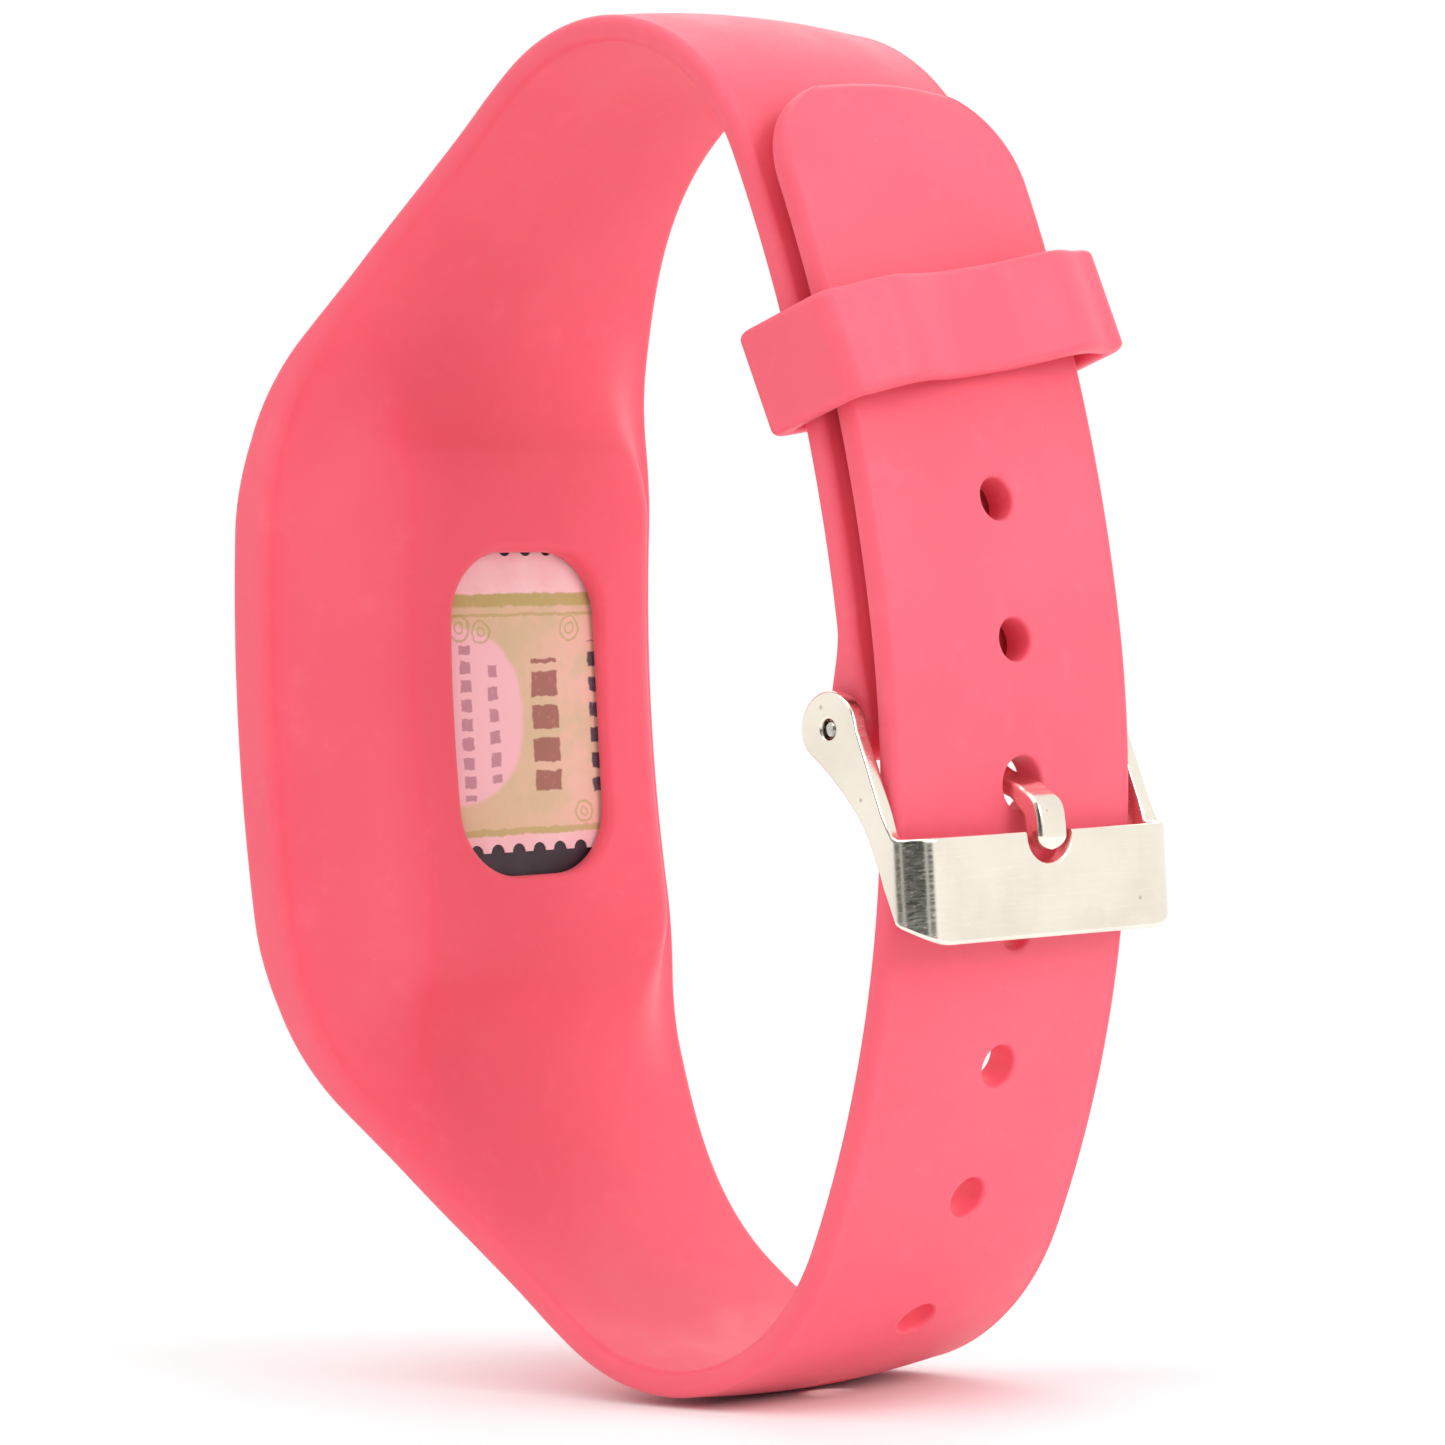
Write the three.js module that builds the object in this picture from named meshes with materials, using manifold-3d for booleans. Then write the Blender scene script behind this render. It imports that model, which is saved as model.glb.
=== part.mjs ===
// Fitness tracker band, buckled shut. Millimetres, +Z up towards the buckle strap's top bend.
// X runs from the display face (-X) to the buckle (+X); Y is the wrist's own axis.
// The origin is the middle of the wrist opening.
import * as THREE from "three";
import { mergeVertices } from "three/addons/utils/BufferGeometryUtils.js";
import Module from "manifold-3d";

const wasm = await Module();
wasm.setup();
const degrees = Math.PI / 180;

// ---- Loop line: the strap's wrist side, a chain of arcs in the XZ plane ----
const moduleX = -21.4;
const sleeveRadius = 93;
const shoulderInset = 1.85;
const shoulderRadius = 12.1;
const shoulderSweep = 24;
const flankRadius = 47.4;
const flankSweep = 24;
const topBendRadius = 12;
const topBendSweep = 100;
const frontRadius = 89;
const footBendRadius = 13.7;
const tailLiftAngle = 5;
const springBarAngle = 1.6;
const tailBeyondTopOfKeeper = 11.4;

// ---- Silicone strap and sleeve ----
const strapWidth = 18;
const strapEdge = 1.5;
const strapCrown = 0.5;
const strapStackGap = 0.5;
const strapRound = 0.6;
const tipCorner = 5.5;
const sleeveSideWall = 2.5;
const sleeveEdge = 3.2;
const sleeveCrown = 0.9;
const sleeveFlatInset = 7;
const sleeveTaperLength = 27;
const bulgeFlatInset = 6;
const bulgeTaperLength = 14;
const bulgeFlatShare = 0.6;
const edgeTaperLength = 16;
const holePitch = 7.4;
const holeRadius = 1.15;
const tongueHoleRadius = 1.45;
const holesTowardTip = 2;
const holesTowardSleeve = 5;

// ---- Strap end, spring bar and buckle ----
const strapEndRadius = 1.75;
const strapEndNarrowing = 0.8;
const strapEndTaper = 5;
const springBarOffset = 0.2;
const barBoreRadius = 1.0;
const barTubeRadius = 0.85;
const barTubeWall = 0.22;
const barTubeInset = 1.3;
const pinCollarRadius = 0.8;
const pinCollarLength = 0.4;
const pinTipRadius = 0.42;
const pinShankRadius = 0.48;
const pinShankInside = 3;
const earHoleRadius = 0.55;
const springWire = 0.1;
const springRadius = 0.4;
const springTurns = 6;
const sheet = 0.9;
const buckleSideGap = 0.3;
const buckleFoldRadius = 1.7;
const earRadius = 2.0;
const barToTailGap = 1;
const barDrop = 5.85;
const barHeight = 5.6;
const barCorner = 2.6;
const notchRadius = 1.7;
const tongueWidth = 1.7;
const tongueThickness = 0.9;
const tongueSlotWidth = 2.5;
const tongueSlotLength = 3.2;
const tongueSlotDepth = 4;
const tongueEyeRadius = 1.6;
const tongueCrossingDrop = 3.35;

// ---- Keeper loop ----
const keeperAngle = 14.6;
const keeperHeight = 5.8;
const keeperWall = 1.2;
const keeperSkew = 8;
const keeperBulge = 0.9;

// ---- Tracker core ----
const coreWidth = 24.4;
const coreLength = 36;
const coreThickness = 7.9;
const coreCorner = 5;
const coreClearance = 0.3;
const frontSkin = 1.2;
const backSkin = 0.9;
const coreFrontSlope = 2.8;
const coreBackSlopeAcross = 4.2;
const coreBackSlopeAlong = 2.6;
const coreSideLand = 0.5;
const coreEndLand = 0.3;
const coverDepth = 1.5;
const coverSkin = 0.8;
const hollowSideWall = 4.6;
const hollowEndWall = 4.8;
const hollowDepth = 3.7;
const hollowCorner = 1.5;
const coverRecessInset = 0.6;
const backWindowWidth = 11.2;
const backWindowLength = 19;
const backWindowCorner = 3.9;
const lensWidth = 10;
const lensCorner = 4;
const lensEndInset = 1.6;
const lensLedge = 0.7;
const lensSunk = 0.2;
const lcdWidth = 13;
const lcdThickness = 1.0;
const lcdHolderWall = 0.55;
const zebraDepth = 0.7;
const zebraWidth = 1.3;
const zebraInset = 0.8;
const boardThickness = 0.6;
const boardEdgeGap = 0.4;
const keyRadius = 2.2;
const keySkirtWidth = 0.35;
const keyProud = 0.3;
const keyTravel = 0.35;
const keyFlange = 0.5;
const keySwitchDepth = 0.6;
const keySwitchWidth = 3;
const keyEndGap = 0.6;
const cellRadius = 6.25;
const cellThickness = 1.6;
const cellEndGap = 1.35;
const contactSheet = 0.15;
const contactWidth = 3;
const contactLength = 6;
const screwRadius = 0.6;
const screwHeadRadius = 1.0;
const screwHeadDepth = 0.5;
const driverDepth = 0.25;
const driverWidth = 0.3;
const driverLength = 1.2;
const screwLength = 3.6;
const screwAcrossInset = 2;
const screwEndOffset = 1.1;
const sealWidth = 0.6;
const sealDepth = 0.5;
const sealSideOffset = 0.5;
const sealEndOffset = 1.5;
const sealCorner = 4.2;
const labelThickness = 0.12;
const labelOverlap = 0.8;
const labelLowGap = 1.4;
const smallGap = 0.1;
const runningGap = 0.3;

// ---- Sizes that follow from those ----
const coreHalfWidth = coreWidth / 2;
const coreHalfLength = coreLength / 2;
const coreFrontHalfWidth = coreHalfWidth - coreFrontSlope;
const coreFrontHalfLength = coreHalfLength - coreFrontSlope;
const coreBackHalfWidth = coreHalfWidth - coreBackSlopeAcross;
const coreBackHalfLength = coreHalfLength - coreBackSlopeAlong;
const sleeveWidth = coreWidth + (coreClearance + sleeveSideWall) * 2;
const sleeveSweep = Math.asin((coreHalfLength - shoulderInset) / sleeveRadius) / degrees;
const sleeveFlatLength = (coreHalfLength - sleeveFlatInset) * 2;
const bulgeFlatLength = (coreHalfLength - bulgeFlatInset) * 2;
const backBulge = coreThickness + frontSkin + backSkin - sleeveEdge - sleeveCrown;
const strapEndWidth = strapWidth - strapEndNarrowing;
const barTubeLength = strapEndWidth - barTubeInset * 2;
const buckleInnerWidth = strapWidth + buckleSideGap * 2;
const hollowHalfWidth = coreHalfWidth - hollowSideWall;
const hollowHalfLength = coreHalfLength - hollowEndWall;
const screwAcross = hollowHalfWidth - screwAcrossInset;
const screwAlong = hollowHalfLength + screwEndOffset;
const sealHalfWidth = coreBackHalfWidth + sealSideOffset;
const sealHalfLength = screwAlong + sealEndOffset;
const lensLength = (coreFrontHalfLength - lensEndInset) * 2;
const keyCentre = keyRadius + keyEndGap - hollowHalfLength;
const cellCentre = cellRadius + cellEndGap - hollowHalfLength;
const boardHalfLength = hollowHalfLength - boardEdgeGap;

// ---- Materials ----
const finish = (color, roughness, metalness) => new THREE.MeshStandardMaterial({ color, roughness, metalness });
const materials = {
  silicone: finish(0xff6f83, 0.6, 0),
  steel: finish(0xe6e0d4, 0.2, 1),
  plastic: finish(0x241c2b, 0.45, 0),
  lens: finish(0x101014, 0.08, 0),
  glass: finish(0x9aa694, 0.15, 0),
  white: finish(0xe9e9e6, 0.5, 0),
  rubber: finish(0x2a2a2c, 0.8, 0),
  board: finish(0x1e5a36, 0.5, 0),
  chip: finish(0x17171a, 0.55, 0),
  paper: finish(0xe9cdd2, 0.85, 0),
};

const tracker = new THREE.Group();

function addPart(name, shape, material) {
  const mesh = new THREE.Mesh(shape instanceof wasm.Manifold ? geometryOf(shape) : shape, materials[material]);
  mesh.name = name;
  tracker.add(mesh);
  return mesh;
}

// ---- Solids and their booleans ----
function solidOf(geometry) {
  const bare = new THREE.BufferGeometry();
  bare.setAttribute("position", geometry.attributes.position.clone());
  if (geometry.index) bare.setIndex(geometry.index.clone());
  const merged = mergeVertices(bare, 1e-5);
  const mesh = new wasm.Mesh({
    numProp: 3,
    vertProperties: new Float32Array(merged.attributes.position.array),
    triVerts: new Uint32Array(merged.index.array),
  });
  return new wasm.Manifold(mesh);
}

function geometryOf(solid) {
  const mesh = solid.getMesh();
  const geometry = new THREE.BufferGeometry();
  geometry.setAttribute("position", new THREE.BufferAttribute(new Float32Array(mesh.vertProperties), 3));
  geometry.setIndex(new THREE.BufferAttribute(new Uint32Array(mesh.triVerts), 1));
  return geometry;
}

function boxSolid(lowX, highX, lowY, highY, lowZ, highZ) {
  const box = new THREE.BoxGeometry(highX - lowX, highY - lowY, highZ - lowZ);
  box.translate((lowX + highX) / 2, (lowY + highY) / 2, (lowZ + highZ) / 2);
  return solidOf(box);
}

function prismOf(outline, depth, arcSteps) {
  return new THREE.ExtrudeGeometry(outline, { depth, bevelEnabled: false, curveSegments: arcSteps });
}

// An outline drawn in (Y, Z), filled from lowX to highX.
function alongX(outline, lowX, highX, arcSteps = 5) {
  const prism = prismOf(outline, highX - lowX, arcSteps);
  prism.applyMatrix4(new THREE.Matrix4().set(0, 0, 1, lowX, 1, 0, 0, 0, 0, 1, 0, 0, 0, 0, 0, 1));
  return solidOf(prism);
}

// An outline drawn in (X, Z), filled from lowY to highY.
function alongY(outline, lowY, highY, arcSteps = 5) {
  const prism = prismOf(outline, highY - lowY, arcSteps);
  prism.applyMatrix4(new THREE.Matrix4().set(1, 0, 0, 0, 0, 0, -1, highY, 0, 1, 0, 0, 0, 0, 0, 1));
  return solidOf(prism);
}

// An outline drawn in (X, Y), filled from lowZ to highZ.
function alongZ(outline, lowZ, highZ, arcSteps = 5) {
  const prism = prismOf(outline, highZ - lowZ, arcSteps);
  prism.translate(0, 0, lowZ);
  return solidOf(prism);
}

function roundedOutline(width, length, corner, centreAcross = 0, centreAlong = 0) {
  const right = centreAcross + width / 2;
  const left = centreAcross - width / 2;
  const top = centreAlong + length / 2;
  const bottom = centreAlong - length / 2;
  const outline = new THREE.Shape();
  outline.moveTo(left + corner, bottom);
  outline.lineTo(right - corner, bottom);
  outline.absarc(right - corner, bottom + corner, corner, -Math.PI / 2, 0, false);
  outline.lineTo(right, top - corner);
  outline.absarc(right - corner, top - corner, corner, 0, Math.PI / 2, false);
  outline.lineTo(left + corner, top);
  outline.absarc(left + corner, top - corner, corner, Math.PI / 2, Math.PI, false);
  outline.lineTo(left, bottom + corner);
  outline.absarc(left + corner, bottom + corner, corner, Math.PI, Math.PI * 1.5, false);
  return outline;
}

function polygon(points) {
  return new THREE.Shape(points.map(([across, along]) => new THREE.Vector2(across, along)));
}

function rod(radius, low, high, x, z, sides = 16) {
  const cylinder = new THREE.CylinderGeometry(radius, radius, high - low, sides);
  cylinder.translate(x, (low + high) / 2, z);
  return cylinder;
}

// A cylinder whose axis is X, from lowX to highX.
function stud(radius, lowX, highX, y, z, sides = 20) {
  const cylinder = new THREE.CylinderGeometry(radius, radius, highX - lowX, sides);
  cylinder.rotateZ(Math.PI / 2);
  cylinder.translate((lowX + highX) / 2, y, z);
  return solidOf(cylinder);
}

// ---- The loop line ----
// Each arc keeps its centre, radius and headings; heading 0 points up and grows towards +X.
function arcPoint(arc, heading) {
  return new THREE.Vector2(arc.x - arc.radius * Math.cos(heading), arc.z + arc.radius * Math.sin(heading));
}

function chainOf(arcs) {
  let length = 0;
  return arcs.map((arc) => {
    const begins = length;
    length += arc.radius * (arc.to - arc.from);
    return { ...arc, begins, ends: length };
  });
}

function nextArc(arcs, radius, sweep) {
  const last = arcs[arcs.length - 1];
  const joint = arcPoint(last, last.to);
  const x = joint.x + radius * Math.cos(last.to);
  const z = joint.y - radius * Math.sin(last.to);
  return { x, z, radius, from: last.to, to: last.to + sweep * degrees };
}

const upperArcs = [{ x: moduleX + sleeveRadius, z: 0, radius: sleeveRadius, from: 0, to: sleeveSweep * degrees }];
upperArcs.push(nextArc(upperArcs, shoulderRadius, shoulderSweep));
upperArcs.push(nextArc(upperArcs, flankRadius, flankSweep));
const sharedArcs = upperArcs.slice();
upperArcs.push(nextArc(upperArcs, topBendRadius, topBendSweep));
const frontFrom = sleeveSweep + shoulderSweep + flankSweep + topBendSweep;
upperArcs.push(nextArc(upperArcs, frontRadius, 180 - springBarAngle - frontFrom));
const frontArc = upperArcs[upperArcs.length - 1];

// The tail's line is worked out in a mirror (Z reversed), where it too climbs away from the sleeve.
// It bends round the foot, then one belly arc joins that bend to the arc that lies over the strap.
const strapThickness = strapEdge + strapCrown;
const overlapRadius = frontRadius + strapThickness + strapStackGap;
const overlapCentre = new THREE.Vector2(frontArc.x, -frontArc.z);
const lift = new THREE.Vector2(Math.cos(tailLiftAngle * degrees), -Math.sin(tailLiftAngle * degrees));
const liftPoint = overlapCentre.clone().addScaledVector(lift, overlapRadius);
const footArc = nextArc(sharedArcs, footBendRadius, 0);
const footToLift = liftPoint.clone().sub(new THREE.Vector2(footArc.x, footArc.z));
const footToLiftAlong = footToLift.dot(lift);
const bellyRadius = (footToLift.lengthSq() - footBendRadius ** 2) / (2 * (footToLiftAlong - footBendRadius));
const bellyCentre = liftPoint.clone().addScaledVector(lift, -bellyRadius);
const footToBelly = Math.atan2(footArc.z - bellyCentre.y, bellyCentre.x - footArc.x);
footArc.to = footToBelly;
const liftHeading = Math.PI + tailLiftAngle * degrees;
const bellyArc = { x: bellyCentre.x, z: bellyCentre.y, radius: bellyRadius, from: footToBelly, to: liftHeading };
const keeperReach = (keeperAngle + (keeperHeight / 2 / overlapRadius) / degrees) * degrees;
const tailEndHeading = Math.PI + keeperReach + tailBeyondTopOfKeeper / overlapRadius;
const overlapArc = {
  x: overlapCentre.x,
  z: overlapCentre.y,
  radius: overlapRadius,
  from: liftHeading,
  to: tailEndHeading,
};

const upperChain = chainOf(upperArcs);
const tailChain = chainOf([...sharedArcs, footArc, bellyArc, overlapArc]);
const upperEnd = upperChain[upperChain.length - 1].ends;
const tailEnd = tailChain[tailChain.length - 1].ends;

// A station is a place on the line: distance is positive towards the buckle, negative down the tail.
function station(distance) {
  const chain = distance >= 0 ? upperChain : tailChain;
  const flip = distance >= 0 ? 1 : -1;
  const run = Math.abs(distance);
  const arc = chain.find((candidate) => run <= candidate.ends) ?? chain[chain.length - 1];
  const heading = arc.from + (run - arc.begins) / arc.radius;
  const point = arcPoint(arc, heading);
  return { x: point.x, z: flip * point.y, outX: -Math.cos(heading), outZ: flip * Math.sin(heading) };
}

// Distances down one chain, close enough together for its bends.
function chainSteps(chain) {
  const steps = [];
  for (const arc of chain) {
    const count = Math.ceil(Math.max((arc.to - arc.from) / (10 * degrees), (arc.ends - arc.begins) / 5));
    for (let step = 0; step < count; step += 1) {
      steps.push(arc.begins + ((arc.ends - arc.begins) * step) / count);
    }
  }
  return steps;
}

// ---- Silicone band ----
const smooth = (share) => THREE.MathUtils.smoothstep(share, 0, 1);
const springBarDistance = upperEnd;
const strapEnd = springBarDistance + strapEndRadius;

function bandSection(distance) {
  const run = Math.abs(distance);
  const sleeve = 1 - smooth((run - sleeveFlatLength / 2) / sleeveTaperLength);
  const edgeShare = 1 - smooth((run - sleeveFlatLength / 2) / edgeTaperLength);
  let halfWidth = THREE.MathUtils.lerp(strapWidth, sleeveWidth, sleeve) / 2;
  let edge = THREE.MathUtils.lerp(strapEdge, sleeveEdge, edgeShare);
  const crown = THREE.MathUtils.lerp(strapCrown, sleeveCrown, sleeve);
  const bulge = backBulge * (1 - smooth((run - bulgeFlatLength / 2) / bulgeTaperLength));
  let inner = 0;
  if (distance < 0) {
    const fromTip = Math.max(tailEnd - run, 0);
    if (fromTip < tipCorner) halfWidth += Math.sqrt(tipCorner ** 2 - (tipCorner - fromTip) ** 2) - tipCorner;
  } else {
    const toEnd = strapEnd - distance;
    const narrowed = 1 - smooth((toEnd - strapEndRadius) / strapEndTaper);
    halfWidth -= (narrowed * (strapWidth - strapEndWidth)) / 2;
    const boss = 1 - smooth((toEnd - strapEndRadius * 1.2) / strapEndTaper);
    inner = boss * (springBarOffset - strapEndRadius);
    edge = THREE.MathUtils.lerp(edge, springBarOffset + strapEndRadius - crown, boss);
    if (toEnd < strapEndRadius) {
      const half = Math.sqrt(strapEndRadius ** 2 - (strapEndRadius - toEnd) ** 2);
      inner = springBarOffset - half;
      edge = springBarOffset + half - crown * (half / strapEndRadius);
      return { halfWidth, edge, crown: crown * (half / strapEndRadius), bulge, inner };
    }
  }
  return { halfWidth, edge, crown, bulge, inner };
}

// One closed ring of (Y, outward) points, anticlockwise: wrist side first, then the outer side.
function bandRing(distance) {
  const { halfWidth, edge, crown, bulge, inner } = bandSection(distance);
  const round = Math.min(strapRound, (edge - inner) * 0.42);
  const flat = halfWidth - round;
  const innerShares = [0, 0.35, 0.64, 0.76, 0.88];
  const outerShares = [0, 0.4, 0.7];
  const innerAt = (share) => inner - bulge * smooth((1 - share) / (1 - bulgeFlatShare));
  const outerAt = (share) => edge + crown * (1 - share ** 2);
  const half = [
    ...innerShares.map((share) => [share * flat, innerAt(share)]),
    [flat, inner],
    [halfWidth - round * 0.3, inner + round * 0.3],
    [halfWidth, inner + round],
    [halfWidth, edge - round],
    [halfWidth - round * 0.3, edge - round * 0.3],
    [flat, edge],
    ...outerShares.slice(1).reverse().map((share) => [share * flat, outerAt(share)]),
  ];
  const top = [0, outerAt(0)];
  const otherHalf = half.slice(1).reverse().map(([y, out]) => [-y, out]);
  return [...half, top, ...otherHalf];
}

function loft(distances) {
  const rings = distances.map((distance) => {
    const at = station(distance);
    return bandRing(distance).map(([y, out]) => [at.x + at.outX * out, y, at.z + at.outZ * out]);
  });
  const count = rings[0].length;
  const positions = rings.flat(2);
  const index = [];
  for (let ring = 0; ring < rings.length - 1; ring += 1) {
    for (let corner = 0; corner < count; corner += 1) {
      const a = ring * count + corner;
      const b = ring * count + ((corner + 1) % count);
      index.push(a, b, b + count, a, b + count, a + count);
    }
  }
  const last = (rings.length - 1) * count;
  const middle = (ring) => [0, 1, 2].map((axis) => ring.reduce((sum, point) => sum + point[axis], 0) / count);
  positions.push(...middle(rings[0]), ...middle(rings[rings.length - 1]));
  const firstCentre = rings.length * count;
  for (let corner = 0; corner < count; corner += 1) {
    const next = (corner + 1) % count;
    index.push(firstCentre, next, corner, firstCentre + 1, last + corner, last + next);
  }
  const geometry = new THREE.BufferGeometry();
  geometry.setAttribute("position", new THREE.Float32BufferAttribute(positions, 3));
  geometry.setIndex(index);
  return geometry;
}

const tipSteps = [0, 0.04, 0.16, 0.36, 0.64, 1].map((share) => tailEnd - share * tipCorner);
const endSteps = [0.1, 0.3, 0.6, 1, 2, 3.2].map((share) => strapEnd - share * strapEndRadius);
const tailSteps = chainSteps(tailChain).filter((run) => run > 0 && run < tailEnd - tipCorner - 1);
const upperSteps = chainSteps(upperChain).filter((run) => run < strapEnd - 4 * strapEndRadius);
const bandSteps = [...tailSteps, ...tipSteps].map((run) => -run).concat(upperSteps, endSteps);
let band = solidOf(loft(bandSteps.sort((low, high) => low - high)));

// ---- Tracker core, a rounded slab whose front follows the sleeve and whose back corners slope in ----
const frontFaceX = moduleX - sleeveEdge - sleeveCrown;
const backFaceX = moduleX + backBulge;
const coreFrontX = frontFaceX + frontSkin;
const coreBackX = coreFrontX + coreThickness;
const coreArcRadius = moduleX + sleeveRadius - coreFrontX;

function coreFrontAt(along, grow = 0) {
  const radius = coreArcRadius + grow;
  return coreFrontX + coreArcRadius - Math.sqrt(radius ** 2 - along ** 2);
}

function coreShape(grow) {
  const plan = roundedOutline((coreHalfWidth + grow) * 2, (coreHalfLength + grow) * 2, coreCorner + grow);
  const slope = grow * 0.5;
  const backX = coreBackX + grow;
  const halfLength = coreHalfLength + grow;
  const frontHalf = coreFrontHalfLength + slope;
  const edgeX = coreFrontAt(frontHalf, grow) + coreFrontSlope;
  const endSlopeX = edgeX + grow + coreEndLand + slope;
  const arcPoints = [-1, -0.66, -0.33, 0, 0.33, 0.66, 1].map((share) => {
    const along = share * frontHalf;
    return [coreFrontAt(along, grow), along];
  });
  const profile = polygon([
    ...arcPoints.slice().reverse(),
    [edgeX, -halfLength],
    [endSlopeX, -halfLength],
    [backX, -coreBackHalfLength - slope],
    [backX, coreBackHalfLength + slope],
    [endSlopeX, halfLength],
    [edgeX, halfLength],
  ]);
  const halfWidth = coreHalfWidth + grow;
  const frontX = coreFrontX - grow;
  const sideFrontX = frontX + coreFrontSlope;
  const sideSlopeX = sideFrontX + grow + coreSideLand + slope;
  const frontWidth = coreFrontHalfWidth + slope;
  const across = polygon([
    [frontX, -frontWidth],
    [sideFrontX, -halfWidth],
    [sideSlopeX, -halfWidth],
    [backX, -coreBackHalfWidth - slope],
    [backX, coreBackHalfWidth + slope],
    [sideSlopeX, halfWidth],
    [sideFrontX, halfWidth],
    [frontX, frontWidth],
  ]);
  const farFront = frontX - 2;
  const farBack = backX + 2;
  return alongX(plan, farFront, farBack)
    .intersect(alongY(profile, -halfWidth - 1, halfWidth + 1))
    .intersect(alongZ(across, -halfLength - 1, halfLength + 1));
}

const core = coreShape(0);
const splitX = coreBackX - coverDepth;
const hollowFrontX = splitX - hollowDepth;
const lensOutline = (grow) => roundedOutline(lensWidth + grow * 2, lensLength + grow * 2, lensCorner + grow);
const lensBackX = hollowFrontX - lensLedge;
const screwPlaces = [
  [-screwAcross, -screwAlong],
  [screwAcross, -screwAlong],
  [-screwAcross, screwAlong],
  [screwAcross, screwAlong],
];

// The sleeve: its pocket, its display opening and its back window.
const pocket = coreShape(coreClearance);
const displayOpening = alongX(lensOutline(runningGap), frontFaceX - 1, coreFrontAt(lensLength / 2) + 1);
const backWindow = roundedOutline(backWindowWidth, backWindowLength, backWindowCorner);
const backOpening = alongX(backWindow, coreBackX - 1, backFaceX + 2);
band = band.subtract(pocket).subtract(displayOpening).subtract(backOpening);

// ---- Spring bar and buckle places ----
const barStation = station(springBarDistance);
const barX = barStation.x + barStation.outX * springBarOffset;
const barZ = barStation.z + barStation.outZ * springBarOffset;
const fromBar = (points) => points.map(([x, z]) => new THREE.Vector2(barX + x, barZ + z));

// The tail's wrist side at a height near the buckle, found by halving its belly's length.
function tailAtHeight(height) {
  const belly = tailChain[tailChain.length - 2];
  let low = (belly.begins + belly.ends) / 2;
  let high = tailEnd;
  for (let halving = 0; halving < 40; halving += 1) {
    const middle = (low + high) / 2;
    if (station(-middle).z < height) low = middle;
    else high = middle;
  }
  return station(-low);
}

// The front bar lies over the tail. The tongue's middle line leaves the spring bar, passes through
// the tail and hooks down into the bar's notch.
const barReach = tailAtHeight(barZ - barDrop).x + strapThickness + barToTailGap + sheet - barX;
const crossingX = tailAtHeight(barZ - tongueCrossingDrop).x - barX;
const tongueTipX = barReach - 0.1;
const tongueLine = new THREE.SplineCurve(
  fromBar([
    [0.4, -1.15],
    [1.3, -2.35],
    [crossingX + 0.3, -tongueCrossingDrop + 0.3],
    [crossingX + strapThickness - 0.1, -tongueCrossingDrop - 0.25],
    [tongueTipX - 1, -barDrop * 0.68],
    [tongueTipX - 0.2, -barDrop * 0.78],
    [tongueTipX, -barDrop * 0.93],
    [tongueTipX, -barDrop - notchRadius * 0.6],
  ]),
);

// How far down the tail the tongue's middle line passes through it; the holes are counted from here.
function tongueCrossing() {
  const middleOut = strapThickness / 2;
  const line = tongueLine.getPoints(60);
  let nearest = { run: 0, gap: Infinity };
  for (let run = 0; run < tailEnd; run += 0.05) {
    const at = station(-run);
    const middle = new THREE.Vector2(at.x + at.outX * middleOut, at.z + at.outZ * middleOut);
    const gap = Math.min(...line.map((point) => point.distanceTo(middle)));
    if (gap < nearest.gap) nearest = { run, gap };
  }
  return nearest.run;
}

const crossing = tongueCrossing();
const drillReach = (strapThickness + strapStackGap) / 2;
for (let hole = -holesTowardSleeve; hole <= holesTowardTip; hole += 1) {
  const at = station(-(crossing + hole * holePitch));
  const radius = hole === 0 ? tongueHoleRadius : holeRadius;
  const drill = new THREE.CylinderGeometry(radius, radius, drillReach * 2, 16);
  drill.rotateZ(Math.PI / 2);
  drill.rotateY(Math.atan2(-at.outZ, at.outX));
  const middle = strapThickness / 2;
  drill.translate(at.x + at.outX * middle, 0, at.z + at.outZ * middle);
  band = band.subtract(solidOf(drill));
}

const barBore = solidOf(rod(barBoreRadius, -strapWidth, strapWidth, barX, barZ, 20));
const slot = boxSolid(
  barX - tongueSlotDepth,
  barX + strapEndRadius + coreClearance,
  -tongueSlotWidth / 2,
  tongueSlotWidth / 2,
  barZ - tongueSlotDepth,
  barZ + tongueSlotLength,
);
band = band.subtract(barBore).subtract(slot);
addPart("silicone_band", band, "silicone");

// ---- Keeper loop, set askew on the strap and the tail ----
const stackDepth = strapThickness * 2 + strapStackGap;
const skewSpread = keeperHeight * Math.tan(keeperSkew * degrees);
const keeperInnerHalf = (strapWidth / Math.cos(keeperSkew * degrees) + skewSpread) / 2 + runningGap;
const keeperOuterHalf = keeperInnerHalf + keeperWall;
const keeperFloor = -runningGap;
const keeperRoof = stackDepth + runningGap;

// The roof dips on to the tail in the middle and arches near each side.
function keeperRoofAt(across) {
  const share = Math.min(Math.abs(across) / keeperInnerHalf, 1);
  return keeperBulge * Math.sin(Math.PI * share ** 1.6) ** 2;
}

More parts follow.
